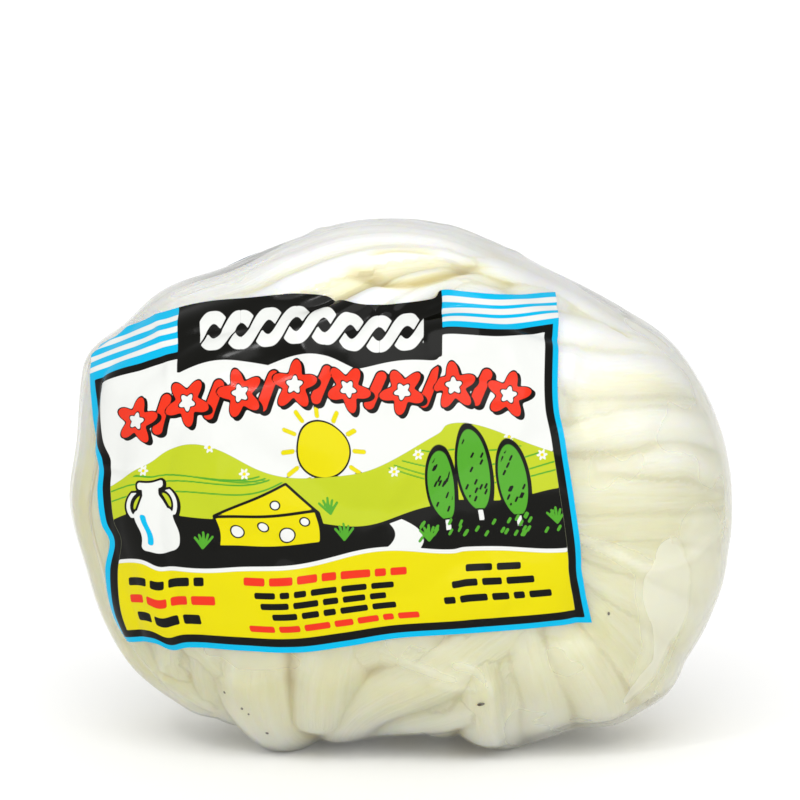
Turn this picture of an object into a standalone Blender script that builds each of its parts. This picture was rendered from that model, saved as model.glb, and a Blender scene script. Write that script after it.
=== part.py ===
"""A braided string cheese shrunk tight in its clear bag, as one solid.

The bag's skin is a ball whose outline and depth are known. The strands and folded
lobes of the plait are curves drawn on that ball, and stand out of it as relief. The
skin rides over them where it is printed or pulled straight. The lowest lobes are cut
off level to stand on. Metres, +Z up, the printed face looks along -Y, and the origin
is at the middle of the base. The tables of places and widths are in millimetres.
"""

import math

import bmesh
import bpy
import numpy as np

MM = 0.001

# Driving dimensions of the packed cheese, in metres.
WIDTH = 0.134
HEIGHT = 0.106
DEPTH = 0.078
CENTRE_HEIGHT = 0.050  # the strands and the outline are measured round this height
FLATNESS = 2.6  # 2 is an ellipsoid, and more is a flatter printed face
BASE_CUT = 0.0018  # how much of the lowest lobes the flat spots take off

# How the skin lies on the strands.
ROUNDNESS = 0.38  # how far a strand's sides fall away, as a share of half its width
GROOVE_DEPTH = 0.0036  # how far the skin sinks where no strand lies
SKIN_SOFTNESS = 0.00055  # how widely the stretched skin bridges a crease

# How the mesh is made.
GRID_CUTS = 71  # cuts along each edge of the ball's first cube
FACE_SHARE = 0.18  # share of the ball's faces that the solid keeps

# The outline seen from the front, clockwise from the top: x, z.
OUTLINE_MM = [
    (-3, 108.9), (14, 106.2), (30, 98.5), (45, 90.5), (55, 83.4), (61.3, 74.2),
    (65.5, 63.0), (67, 52.0), (66.5, 41.0), (63.8, 29.8), (59.2, 20.4), (54, 11.4),
    (46.9, 6.3), (35, 3.9), (20, -0.4), (6, 2.2), (-9, 2.8), (-23, 0.2),
    (-35, 4.8), (-46, 11.0), (-54, 17.8), (-59.8, 27.2), (-63.4, 38.7),
    (-66.3, 52.0), (-64.8, 64.0), (-63.8, 75.0), (-62.8, 80.9), (-55.7, 87.2),
    (-48.8, 93.6), (-36, 98.6), (-22, 104.4), (-12.5, 107.7),
]  # fmt: skip

# Lobes that hang from the middle of the face and tuck under the ball:
# x, z of the neck; x, z of the belly; x, z of the foot; half the width; lift.
LOBES_MM = [
    (-50, 50, -57, 26, -51, 10, 5.2, -0.3),
    (-44, 46, -48, 24, -41.5, 7, 4.6, -0.2),
    (-38, 44, -40, 22, -36, 5, 3.0, -0.6),
    (-28, 46, -31, 22, -24.5, 1.5, 8.0, 1.2),
    (-8, 48, -13.0, 27, -15, 8.5, 9.0, 0.2),
    (28, 36, 7, 19, -8, 9, 7.4, 1.0),
    (26, 26, 12, 11, -6, 4, 4.4, 0.4),
    (13, 34, 16.5, 16, 18, 4.5, 5.0, 0.8),
    (12, 28, 9, 13, 7, 5, 4.8, -0.6),
    (22, 28, 22, 14, 21, 5, 4.6, -0.6),
    (24, 34, 27, 19, 30, 4, 5.0, 0.0),
    (31, 34, 37, 21, 42, 6, 5.2, -0.3),
    (36, 38, 45, 28, 54, 15, 5.6, 0.2),
    (36, 43, 49, 35, 61, 25, 5.6, 0.0),
    (34, 48, 50, 43, 65, 35, 5.6, -0.1),
]  # fmt: skip
LOBE_NECK = 0.45  # width of a lobe's neck, as a share of its full width
FINGER_TIP = 0.55  # width of a finger where it starts, the same
TIP_SINK_MM = 2.6  # how far the start of a strand lies below the rest of it
RISE_MM = 16  # length over which a finger or a strand of the hank comes up from there
SHORT_LOBES = (4, 7)  # these two end in a round foot in front, and don't tuck under

# Fingers that run from the middle of the face to the right edge and round it:
# x, z where one starts; x, z on its way; its height at the edge; half width; lift.
FINGERS_MM = [
    (7, 104.0, 31, 97.0, 91, 3.8, 0.5),
    (5, 100.5, 33, 90.5, 84.5, 3.9, 0.4),
    (2, 92, 38, 82, 76, 5.4, 0.8),
    (28, 76, 46, 76.0, 71, 4.2, -1.2),
    (33, 69.2, 50, 71.0, 65.0, 4.0, 0.8),
    (41, 62.4, 56, 63.4, 57.0, 4.2, 0.8),
    (14, 58, 40, 57, 53, 9.0, -0.5),
    (14, 51, 50, 51.0, 47.5, 4.4, -0.5),
]

# Strands of the hank that goes over the top and down the left side: how far
# each lies behind the middle, half its width, lift.
HANK_MM = [
    (-34.0, 3.2, -0.4),
    (-29.6, 3.2, 0.1),
    (-25.4, 2.4, -1.8),
    (-21.0, 3.0, 0.3),
    (-12.5, 5.8, 0.5),
    (-6.0, 6.0, 0.6),
    (0.5, 6.0, 0.5),
    (7.0, 5.6, 0.3),
    (13.5, 4.4, 0.0),
    (19.5, 4.0, 0.4),
    (25.5, 3.4, -0.2),
    (31.0, 3.0, 0.3),
    (35.5, 2.6, 0.0),
]
# The tail of the same strands, which fans out from the pinch down the right of the
# back, until it dives under the fingers.
TAIL_MM = [
    (-3.0, 3.8, -0.3),
    (5.0, 4.2, 0.2),
    (13.0, 4.0, 0.3),
    (20.0, 3.8, 0.0),
    (26.5, 3.4, 0.3),
    (32.0, 3.0, 0.1),
    (36.0, 2.6, -0.2),
]
HANK_TURNS, TAIL_TURNS = (64, 224), (80, 10)  # degrees round the outline
HANK_DIVE_MM, TAIL_DIVE_MM = 0.0, 2.6  # how far each sinks towards its far end
PINCH_TURN_DEG = 44  # turn over which the strands spread out again from the pinch
PINCH_SPREAD = 0.30  # how much of their spread they keep in the pinch
PINCH_DEPTH_MM = -15  # how far behind the middle the pinch lies
WANDER_MM, WANDERS = 0.8, 2.2  # how far a strand strays sideways, and waves per radian

# The third bundle, which goes from the pinch straight down the back: x of each strand at
# the top, on its way and where it ends, half its width, lift.
BUNDLE_MM = [
    (15.0, 6, -1, 3.4, -1.6),
    (16.5, 11, 6, 3.6, -1.2),
    (18.0, 16, 13, 3.6, -1.3),
    (19.5, 21, 20, 3.2, -1.7),
]

# The plait inside, seen on both faces: heights of its crossings, where the arms
# of each crossing meet and reach, half the width, lift.
PLAIT_HEIGHTS_MM = (30, 48, 66, 84)
PLAIT_MIDDLE_MM, PLAIT_REACH_MM, PLAIT_RISE_MM = -4, 33, 12
PLAIT_HALF_MM, PLAIT_LIFT_MM = 8.5, -0.5

# Where the skin is held off the strands. The printed panels, and the bag's seam with its
# flap at the lower right, are stiff: side, x and z of the middle, half the width and
# height, share of the relief that it hides.
PANELS_MM = [
    (-1, -12, 55, 46, 33, 0.72),
    (-1, 57, 26, 15, 25, 0.80),
    (-1, 36, 14, 16, 13, 0.55),
    (-1, 50, 62, 16, 26, 0.45),
    (1, -6, 58, 44, 33, 0.60),
]
# A tent is pulled straight between strands along the outline: its middle and half
# its length as turns in degrees, how far behind the middle, half its width, share.
TENTS = [
    (22, 64, 2, 24, 0.94),
    (138, 26, -4, 22, 0.92),
    (-48, 32, -2, 19, 0.88),
    (182, 32, 0, 18, 0.55),
    (102, 28, 2, 15, 0.65),
]


# ---- the ball: an outline, and a depth that follows it ------------------------


def outline_radius(angle):
    """Radius of the outline at each angle round the middle, a closed smooth curve
    through OUTLINE_MM: a cubic between each two neighbours whose slopes come from
    the points on either side."""
    points = np.array(OUTLINE_MM) * MM
    x, z = points[:, 0], points[:, 1] - CENTRE_HEIGHT
    turn = np.mod(np.arctan2(z, x), 2 * math.pi)
    order = np.argsort(turn)
    turn, radius = turn[order], np.hypot(x, z)[order]
    turn = np.concatenate([turn[-2:] - 2 * math.pi, turn, turn[:2] + 2 * math.pi])
    radius = np.concatenate([radius[-2:], radius, radius[:2]])
    slope = np.gradient(radius, turn)
    angle = np.mod(angle, 2 * math.pi)
    i = np.clip(np.searchsorted(turn, angle) - 1, 0, len(turn) - 2)
    gap = turn[i + 1] - turn[i]
    t = (angle - turn[i]) / gap
    return (
        radius[i] * (1 + 2 * t) * (1 - t) ** 2
        + radius[i + 1] * t * t * (3 - 2 * t)
        + gap * slope[i] * t * (1 - t) ** 2
        - gap * slope[i + 1] * t * t * (1 - t)
    )


def on_ball(points):
    """The given points (around the middle) moved along their radius onto the ball:
    (across / outline) ** n + (depth / half depth) ** n is 1 there."""
    way = points / np.linalg.norm(points, axis=-1, keepdims=True)
    across = np.hypot(way[..., 0], way[..., 2])
    radius = outline_radius(np.arctan2(way[..., 2], way[..., 0]))
    share = (across / radius) ** FLATNESS + (np.abs(way[..., 1]) / (DEPTH / 2)) ** FLATNESS
    return way * (share ** (-1 / FLATNESS))[..., None]


def face_point(x, z, side):
    """A point of the ball by where it is seen from the front. side is -1 on the
    printed face and 1 on the back."""
    x, z = x * MM, z * MM - CENTRE_HEIGHT
    across = min(math.hypot(x, z) / float(outline_radius(math.atan2(z, x))), 0.985)
    depth = DEPTH / 2 * (1 - across**FLATNESS) ** (1 / FLATNESS)
    return np.array([x, side * depth, z])


def rim_point(x, z):
    """The point of the outline in the direction of x, z from the middle."""
    turn = math.atan2(z * MM - CENTRE_HEIGHT, x * MM)
    radius = float(outline_radius(turn))
    return np.array([radius * math.cos(turn), 0.0, radius * math.sin(turn)])


# ---- the strands: curves drawn on the ball, each with its widths ------------------


def smooth_curve(points, steps=60):
    """A curve on the ball through the points (Catmull-Rom), at even parameter."""
    p = np.array(points)
    p = np.vstack([2 * p[0] - p[1], p, 2 * p[-1] - p[-2]])
    at = np.linspace(0, len(p) - 3 - 1e-9, steps)
    i = at.astype(int)
    t = (at - i)[:, None]
    a, b, c, d = p[i], p[i + 1], p[i + 2], p[i + 3]
    curve = b + 0.5 * t * (c - a + t * (2 * a - 5 * b + 4 * c - d + t * (3 * (b - c) + d - a)))
    return on_ball(curve)


def ease(t):
    """0 to 1 with level ends."""
    t = np.clip(t, 0, 1)
    return t * t * (3 - 2 * t)


def risen(curve):
    """How far a strand has come up from its sunk start, along its length: 0 to 1."""
    length = np.cumsum(np.linalg.norm(np.diff(curve, axis=0, prepend=curve[:1]), axis=1))
    return ease(length / (RISE_MM * MM))


def lobes():
    for number, row in enumerate(LOBES_MM):
        x_neck, z_neck, x_belly, z_belly, x_foot, z_foot, half, lift = row
        points = [
            face_point(x_neck, z_neck, -1),
            face_point(x_belly, z_belly, -1),
            face_point(x_foot, z_foot, -1),
        ]
        if number not in SHORT_LOBES:
            points += [
                rim_point(x_foot, z_foot),
                face_point(x_foot * 0.95, z_foot + 6, 1),
                face_point(x_foot * 0.75 - 2, z_foot + 26, 1),
            ]
        curve = smooth_curve(points)
        grown = ease(np.linspace(0, len(points) - 1, len(curve)))
        width = half * MM * (LOBE_NECK + (1 - LOBE_NECK) * grown)
        yield curve, width, (lift - TIP_SINK_MM * (1 - grown)) * MM


def fingers():
    for x_start, z_start, x_way, z_way, z_edge, half, lift in FINGERS_MM:
        edge = rim_point(70, z_edge)
        x_edge = edge[0] / MM
        curve = smooth_curve([
            face_point(x_start, z_start, -1),
            face_point(x_way, z_way, -1),
            face_point(x_edge - 4, (z_way + z_edge) / 2, -1),
            edge,
            face_point(x_edge - 6, z_edge, 1),
            face_point(x_edge * 0.45, z_edge - 1, 1),
        ])  # fmt: skip
        grown = risen(curve)
        width = half * MM * (FINGER_TIP + (1 - FINGER_TIP) * grown)
        yield curve, width, (lift - TIP_SINK_MM * (1 - grown)) * MM


def fan(rows, turns, dive):
    """Strands that spread out from the pinch and go round the outline, each at about
    its own depth with a slow wave in it, and sink by dive towards their far ends."""
    turn = np.radians(np.linspace(*turns, 12))
    spread = ease(np.abs(turn - turn[0]) / math.radians(PINCH_TURN_DEG))
    spread = PINCH_SPREAD + (1 - PINCH_SPREAD) * spread
    for number, (y, half, lift) in enumerate(rows):
        stray = WANDER_MM * np.sin(WANDERS * turn + 1.7 * number)
        depth = (PINCH_DEPTH_MM + (y + stray - PINCH_DEPTH_MM) * spread) * MM
        across = (1 - (np.abs(depth) / (DEPTH / 2)) ** FLATNESS) ** (1 / FLATNESS)
        radius = outline_radius(turn) * across
        curve = smooth_curve(np.stack([radius * np.cos(turn), depth, radius * np.sin(turn)], 1))
        t = np.linspace(0, 1, len(curve))
        width = np.interp(t, np.linspace(0, 1, len(turn)), spread)
        sunk = TIP_SINK_MM * (1 - risen(curve)) + dive * ease(2 * t - 0.9)
        yield curve, half * MM * np.maximum(width, 0.55), (lift - sunk) * MM


def hank():
    yield from fan(HANK_MM, HANK_TURNS, HANK_DIVE_MM)
    yield from fan(TAIL_MM, TAIL_TURNS, TAIL_DIVE_MM)


def bundle():
    """Strands between the hank and its tail, until they dive under the plait."""
    for x_top, x_way, x_end, half, lift in BUNDLE_MM:
        curve = smooth_curve([
            face_point(x_top, 103.5, -1),
            rim_point(x_top, 105),
            face_point(x_way, 99, 1),
            face_point(x_end, 86, 1),
        ])  # fmt: skip
        yield curve, np.full(len(curve), half * MM), np.full(len(curve), lift * MM)


def plait():
    """On each face, arms that come down from both sides to each crossing."""
    for side in (-1, 1):
        for z in PLAIT_HEIGHTS_MM:
            for reach in (-PLAIT_REACH_MM, PLAIT_REACH_MM):
                curve = smooth_curve([
                    face_point(PLAIT_MIDDLE_MM - reach * 0.15, z - PLAIT_RISE_MM * 0.3, side),
                    face_point(PLAIT_MIDDLE_MM + reach * 0.5, z + PLAIT_RISE_MM * 0.5, side),
                    face_point(PLAIT_MIDDLE_MM + reach, z + PLAIT_RISE_MM, side),
                ])  # fmt: skip
                half = PLAIT_HALF_MM * MM * (1 - 0.35 * np.linspace(0, 1, len(curve)))
                yield curve, half, np.full(len(curve), PLAIT_LIFT_MM * MM)


# ---- the skin over them -------------------------------------------------------------


def nearest(points, curve):
    """Distance from each point to the curve, and how far along it that is, 0 to 1."""
    start, step = curve[:-1], np.diff(curve, axis=0)
    along = ((points[:, None, :] - start) * step).sum(2) / (step**2).sum(1)
    along = np.clip(along, 0, 1)
    gap = np.linalg.norm(points[:, None, :] - start - along[..., None] * step, axis=2)
    best = gap.argmin(1)
    rows = np.arange(len(points))
    return gap[rows, best], (best + along[rows, best]) / len(step)


def relief(points, strands):
    """How far the skin stands above the ball at each point: a strand is a parabola
    across, and the strands and the bare groove are blended by a soft maximum."""
    total = np.full(len(points), math.exp(-GROOVE_DEPTH / SKIN_SOFTNESS))
    for curve, half, lift in strands:
        reach = 2.5 * half.max()
        low, high = curve.min(0) - reach, curve.max(0) + reach
        close = np.flatnonzero(((points > low) & (points < high)).all(1))
        gap, along = nearest(points[close], curve)
        width, crown = (np.interp(along, np.linspace(0, 1, len(v)), v) for v in (half, lift))
        height = crown - ROUNDNESS * width * (gap / width) ** 2
        total[close] += np.exp(np.maximum(height, -3 * GROOVE_DEPTH) / SKIN_SOFTNESS)
    return SKIN_SOFTNESS * np.log(total)


def slack(points):
    """How much of the relief the skin hides at each point, from 0 to 1: under the
    printed panels and in the tents."""
    x, y, z = points.T / MM
    held = np.zeros(len(points))
    for side, x_mid, z_mid, half_wide, half_high, share in PANELS_MM:
        off = ((x - x_mid) / half_wide) ** 4 + ((z + CENTRE_HEIGHT / MM - z_mid) / half_high) ** 4
        held = np.maximum(held, share * ease(1.8 - off) * (side * y > 0))
    turn = np.degrees(np.arctan2(z, x))
    for middle, half_long, y_mid, half_wide, share in TENTS:
        off = np.mod(turn - middle + 180, 360) - 180
        inside = ease((half_long - np.abs(off)) / 16)
        held = np.maximum(held, share * inside * np.exp(-(((y - y_mid) / half_wide) ** 4)))
    return held


# ---- the solid ---------------------------------------------------------------


def clear_scene():
    for old in list(bpy.data.objects):
        bpy.data.objects.remove(old)


def ball_of_squares(cuts):
    """A cube cut into even squares, which shape_skin blows up."""
    mesh = bpy.data.meshes.new("bagged_cheese")
    bm = bmesh.new()
    bmesh.ops.create_cube(bm, size=2.0)
    bmesh.ops.subdivide_edges(bm, edges=bm.edges, cuts=cuts, use_grid_fill=True)
    bm.to_mesh(mesh)
    bm.free()
    return mesh


def shape_skin(mesh):
    """Moves each corner of the squares onto the bag's skin. The tangent keeps the
    squares nearly equal on the ball."""
    corners = np.empty(len(mesh.vertices) * 3)
    mesh.vertices.foreach_get("co", corners)
    ball = on_ball(np.tan(corners.reshape(-1, 3) * math.pi / 4))
    way = ball / np.linalg.norm(ball, axis=1, keepdims=True)
    strands = [*lobes(), *fingers(), *hank(), *plait(), *bundle()]
    skin = ball + way * (relief(ball, strands) * (1 - slack(ball)))[:, None]
    mesh.vertices.foreach_set("co", skin.ravel())
    mesh.update()


def thin_out(obj):
    """Applies a Decimate, so that faces stay dense only where the skin bends."""
    fewer = obj.modifiers.new("thin_out", "DECIMATE")
    fewer.ratio = FACE_SHARE
    graph = bpy.context.evaluated_depsgraph_get()
    kept = bpy.data.meshes.new_from_object(obj.evaluated_get(graph))
    obj.modifiers.clear()
    obj.data = kept


def cut_base(obj):
    """Cuts the lowest lobes off level and fills the cuts."""
    bm = bmesh.new()
    bm.from_mesh(obj.data)
    everything = bm.verts[:] + bm.edges[:] + bm.faces[:]
    level = min(v.co.z for v in bm.verts) + BASE_CUT
    cut = bmesh.ops.bisect_plane(
        bm, geom=everything, plane_co=(0, 0, level), plane_no=(0, 0, -1), clear_outer=True
    )
    rim = [e for e in cut["geom_cut"] if isinstance(e, bmesh.types.BMEdge)]
    bmesh.ops.edgenet_fill(bm, edges=rim)
    bmesh.ops.recalc_face_normals(bm, faces=bm.faces)
    bm.to_mesh(obj.data)
    bm.free()


def fit_to_size(obj):
    """Brings the box to the driving dimensions, centred on the base."""
    corners = np.empty(len(obj.data.vertices) * 3)
    obj.data.vertices.foreach_get("co", corners)
    corners = corners.reshape(-1, 3)
    low, high = corners.min(0), corners.max(0)
    base_middle = np.array([(low[0] + high[0]) / 2, (low[1] + high[1]) / 2, low[2]])
    corners = (corners - base_middle) * (np.array([WIDTH, DEPTH, HEIGHT]) / (high - low))
    obj.data.vertices.foreach_set("co", corners.ravel())
    obj.data.update()


def cheese_material():
    material = bpy.data.materials.new("bagged_cheese")
    material.use_nodes = True
    shader = material.node_tree.nodes["Principled BSDF"]
    shader.inputs["Base Color"].default_value = (0.74, 0.71, 0.48, 1)
    shader.inputs["Roughness"].default_value = 0.25
    shader.inputs["Metallic"].default_value = 0.0
    return material


def main():
    clear_scene()
    collection = bpy.data.collections.new("braided_string_cheese")
    bpy.context.scene.collection.children.link(collection)
    mesh = ball_of_squares(GRID_CUTS)
    shape_skin(mesh)
    bag = bpy.data.objects.new("bagged_cheese", mesh)
    collection.objects.link(bag)
    thin_out(bag)
    cut_base(bag)
    fit_to_size(bag)
    bag.data.materials.clear()
    bag.data.materials.append(cheese_material())
    bag.data.shade_smooth()


main()
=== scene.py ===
# %% [markdown]
# A braided string cheese in its clear bag
#
# The object is a plait of pulled curd, wound into a ball and shrunk into a clear bag
# that has a printed panel on its front and another on its back. Most of what the eye
# reads is the way thick strands press against a thin glossy skin, so this scene has
# the strands, the skin and the print as separate surfaces, all worked out from the
# same few curves. Metres, +Z up, and the printed face looks along -Y.

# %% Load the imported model, which gives the size and place of everything
import math

import bpy
import numpy as np
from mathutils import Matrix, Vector


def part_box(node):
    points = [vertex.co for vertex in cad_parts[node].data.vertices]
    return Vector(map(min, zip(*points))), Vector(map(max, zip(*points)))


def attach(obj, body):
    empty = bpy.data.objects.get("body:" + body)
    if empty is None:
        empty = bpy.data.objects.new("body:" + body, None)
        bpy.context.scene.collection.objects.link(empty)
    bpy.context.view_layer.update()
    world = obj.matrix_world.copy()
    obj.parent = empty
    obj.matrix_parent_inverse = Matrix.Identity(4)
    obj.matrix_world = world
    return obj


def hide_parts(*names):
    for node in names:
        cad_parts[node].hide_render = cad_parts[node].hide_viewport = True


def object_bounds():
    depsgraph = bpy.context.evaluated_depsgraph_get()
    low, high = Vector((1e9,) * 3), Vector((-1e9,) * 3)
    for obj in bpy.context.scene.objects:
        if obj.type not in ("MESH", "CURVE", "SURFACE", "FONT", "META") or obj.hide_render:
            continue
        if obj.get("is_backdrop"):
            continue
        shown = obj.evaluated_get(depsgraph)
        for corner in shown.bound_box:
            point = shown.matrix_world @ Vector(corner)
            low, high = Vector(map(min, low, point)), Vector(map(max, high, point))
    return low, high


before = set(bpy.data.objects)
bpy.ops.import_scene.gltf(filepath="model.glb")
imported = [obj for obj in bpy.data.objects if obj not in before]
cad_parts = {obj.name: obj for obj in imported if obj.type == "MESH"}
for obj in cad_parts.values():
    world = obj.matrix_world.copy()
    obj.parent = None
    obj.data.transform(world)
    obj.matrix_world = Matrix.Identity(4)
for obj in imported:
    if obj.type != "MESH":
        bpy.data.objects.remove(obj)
cad_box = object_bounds()
LOW, HIGH = (np.array(corner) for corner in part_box("bagged_cheese"))
MM = 0.001
print("solid", np.round((HIGH - LOW) / MM, 1), "mm")

# %% [markdown]
# ## The ball
#
# The bag is roughly a cushion: seen from the front it has a lumpy outline, and seen
# from the side it is a flattened ellipse. One could sculpt it, or skin a few loops.
# A formula is better here, because every other piece has to lie on it: the outline is
# a closed curve, and the depth follows it by the rule of a superellipse.

# %% The outline, and a function that puts any point on the ball
CENTRE_HEIGHT = 0.050
BALL_DEPTH = 0.078
FLATNESS = 2.6  # power of the superellipse: 2 is an ellipse, and more is flatter
FACE_LIMIT = 0.985  # how near to the outline a point of a face may be

# x and z of the outline, clockwise from the top, in millimetres
OUTLINE_MM = [
    (-3, 108.9), (14, 106.2), (30, 98.5), (45, 90.5), (55, 83.4), (61.3, 74.2),
    (65.5, 63.0), (67, 52.0), (66.5, 41.0), (63.8, 29.8), (59.2, 20.4), (54, 11.4),
    (46.9, 6.3), (35, 3.9), (20, -0.4), (6, 2.2), (-9, 2.8), (-23, 0.2),
    (-35, 4.8), (-46, 11.0), (-54, 17.8), (-59.8, 27.2), (-63.4, 38.7),
    (-66.3, 52.0), (-64.8, 64.0), (-63.8, 75.0), (-62.8, 80.9), (-55.7, 87.2),
    (-48.8, 93.6), (-36, 98.6), (-22, 104.4), (-12.5, 107.7),
]  # fmt: skip


def outline_radius(turn):
    """Radius of the outline at each angle round the middle: a cubic between each two
    neighbouring points, whose slopes come from the points on either side."""
    points = np.array(OUTLINE_MM) * MM
    x, z = points[:, 0], points[:, 1] - CENTRE_HEIGHT
    at = np.mod(np.arctan2(z, x), 2 * math.pi)
    order = np.argsort(at)
    at, radius = at[order], np.hypot(x, z)[order]
    at = np.concatenate([at[-2:] - 2 * math.pi, at, at[:2] + 2 * math.pi])
    radius = np.concatenate([radius[-2:], radius, radius[:2]])
    slope = np.gradient(radius, at)
    turn = np.mod(turn, 2 * math.pi)
    i = np.clip(np.searchsorted(at, turn) - 1, 0, len(at) - 2)
    gap = at[i + 1] - at[i]
    t = (turn - at[i]) / gap
    return (
        radius[i] * (1 + 2 * t) * (1 - t) ** 2
        + radius[i + 1] * t * t * (3 - 2 * t)
        + gap * slope[i] * t * (1 - t) ** 2
        - gap * slope[i + 1] * t * t * (1 - t)
    )


def unit(vectors):
    """Each vector over its own length."""
    return vectors / np.linalg.norm(vectors, axis=-1, keepdims=True)


def on_ball(points):
    """Points moved along their radius to where (across / outline) ** n plus
    (depth / half depth) ** n is 1."""
    way = unit(points)
    across = np.hypot(way[..., 0], way[..., 2])
    radius = outline_radius(np.arctan2(way[..., 2], way[..., 0]))
    share = (across / radius) ** FLATNESS
    share += (np.abs(way[..., 1]) / (BALL_DEPTH / 2)) ** FLATNESS
    return way * (share ** (-1 / FLATNESS))[..., None]


def face_point(x, z, side):
    """The point of the ball seen at x, z from the front (side -1) or behind (1)."""
    x, z = x * MM, z * MM - CENTRE_HEIGHT
    across = min(math.hypot(x, z) / float(outline_radius(math.atan2(z, x))), FACE_LIMIT)
    depth = BALL_DEPTH / 2 * (1 - across**FLATNESS) ** (1 / FLATNESS)
    return np.array([x, side * depth, z])


def rim_point(x, z):
    """The point of the outline in the direction of x, z from the middle."""
    turn = math.atan2(z * MM - CENTRE_HEIGHT, x * MM)
    radius = float(outline_radius(turn))
    return np.array([radius * math.cos(turn), 0.0, radius * math.sin(turn)])


def ease(t):
    """0 to 1 with level ends: 3 t squared minus 2 t cubed."""
    t = np.clip(t, 0, 1)
    return t * t * (3 - 2 * t)


print("outline of", len(OUTLINE_MM), "points")

# %% [markdown]
# ## The strands
#
# The curd is pulled into a skein and plaited, and the ends are tucked under. Five
# families of strands come of it: lobes, fingers, a hank with its tail, the plait
# itself, and a bundle down the back. Each strand is a smooth curve drawn on the ball,
# with its width and how far it stands out. They could be hair curves, but a few dozen
# thick strands whose places are seen in the photograph are placed better one by one.

# %% Smooth curves on the ball
TIP_SINK_MM, RISE_MM = 2.6, 16  # depth of a strand's sunk start, and length of its rise


def smooth_line(points, steps):
    """A line through the points at even parameter, each stretch a cubic whose ends
    head along the chord between the points on either side (Catmull-Rom)."""
    p = np.array(points, float)
    p = np.vstack([2 * p[0] - p[1], p, 2 * p[-1] - p[-2]])
    at = np.linspace(0, len(p) - 3 - 1e-9, steps)
    i = at.astype(int)
    t = (at - i)[:, None]
    a, b, c, d = p[i], p[i + 1], p[i + 2], p[i + 3]
    return b + 0.5 * t * (c - a + t * (2 * a - 5 * b + 4 * c - d + t * (3 * (b - c) + d - a)))


def smooth_curve(points, steps=60):
    """The smooth line through the points, moved onto the ball."""
    return on_ball(smooth_line(points, steps))


def risen(curve):
    """How far a strand has come up from its sunk start: 0 to 1, eased over its length."""
    length = np.cumsum(np.linalg.norm(np.diff(curve, axis=0, prepend=curve[:1]), axis=1))
    return ease(length / (RISE_MM * MM))


print("a strand comes up from", TIP_SINK_MM, "mm within", RISE_MM, "mm")

# %% [markdown]
# ### Lobes
#
# Below the panel the ends of the plait bulge out in fat folds, and most of them go
# under the ball and up its back. A row of numbers for each is easy to set against the
# photograph, one place at a time, where a sculpted form would be hard to correct.

# %% The lobes below the panel
# x, z of the neck; of the belly; of the foot; half the width; lift
LOBES_MM = [
    (-50, 50, -57, 26, -51, 10, 5.2, -0.3),
    (-44, 46, -48, 24, -41.5, 7, 4.6, -0.2),
    (-38, 44, -40, 22, -36, 5, 3.0, -0.6),
    (-28, 46, -31, 22, -24.5, 1.5, 8.0, 1.2),
    (-8, 48, -13.0, 27, -15, 8.5, 9.0, 0.2),
    (28, 36, 7, 19, -8, 9, 7.4, 1.0),
    (26, 26, 12, 11, -6, 4, 4.4, 0.4),
    (13, 34, 16.5, 16, 18, 4.5, 5.0, 0.8),
    (12, 28, 9, 13, 7, 5, 4.8, -0.6),
    (22, 28, 22, 14, 21, 5, 4.6, -0.6),
    (24, 34, 27, 19, 30, 4, 5.0, 0.0),
    (31, 34, 37, 21, 42, 6, 5.2, -0.3),
    (36, 38, 45, 28, 54, 15, 5.6, 0.2),
    (36, 43, 49, 35, 61, 25, 5.6, 0.0),
    (34, 48, 50, 43, 65, 35, 5.6, -0.1),
]  # fmt: skip
LOBE_NECK = 0.45  # width of the neck, as a share of the belly's
SHORT_LOBES = (4, 7)  # these two end in a round foot in front
LOBE_TUCK = [(0.95, 0, 6), (0.75, -2, 26)]  # behind the foot: share of its x, moves in x and z


def lobes():
    """Each lobe swells from a narrow neck, and goes under and up the back."""
    for number, row in enumerate(LOBES_MM):
        x_neck, z_neck, x_belly, z_belly, x_foot, z_foot, half, lift = row
        points = [
            face_point(x_neck, z_neck, -1),
            face_point(x_belly, z_belly, -1),
            face_point(x_foot, z_foot, -1),
        ]
        if number not in SHORT_LOBES:
            points.append(rim_point(x_foot, z_foot))
            points += [face_point(x_foot * share + dx, z_foot + dz, 1) for share, dx, dz in LOBE_TUCK]
        curve = smooth_curve(points)
        grown = ease(np.linspace(0, len(points) - 1, len(curve)))
        width = half * MM * (LOBE_NECK + (1 - LOBE_NECK) * grown)
        yield curve, width, (lift - TIP_SINK_MM * (1 - grown)) * MM


LOBES = [*lobes()]
print(len(LOBES), "lobes")

# %% [markdown]
# ### Fingers
#
# On the right the strands go round the edge side by side, like the fingers of a hand
# that holds the ball. Only their front half shows, so a row gives that half, and the
# way round the edge and onto the back follows from it.

# %% The fingers round the right side
# x, z of the start; on the way; height at the edge; half the width; lift
FINGERS_MM = [
    (7, 104.0, 31, 97.0, 91, 3.8, 0.5),
    (5, 100.5, 33, 90.5, 84.5, 3.9, 0.4),
    (2, 92, 38, 82, 76, 5.4, 0.8),
    (28, 76, 46, 76.0, 71, 4.2, -1.2),
    (33, 69.2, 50, 71.0, 65.0, 4.0, 0.8),
    (41, 62.4, 56, 63.4, 57.0, 4.2, 0.8),
    (14, 58, 40, 57, 53, 9.0, -0.5),
    (14, 51, 50, 51.0, 47.5, 4.4, -0.5),
]
FINGER_TIP = 0.55  # width of the start, as a share of the rest
BEYOND_RIGHT_MM = 70  # an x past the right edge, which gives the way to look for the edge
BEFORE_EDGE_MM, BEHIND_EDGE_MM = 4, 6  # how far in from the edge the curve turns round it
FINGER_END = (0.45, 1)  # the far end: share of the edge's x, and drop in millimetres


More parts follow.
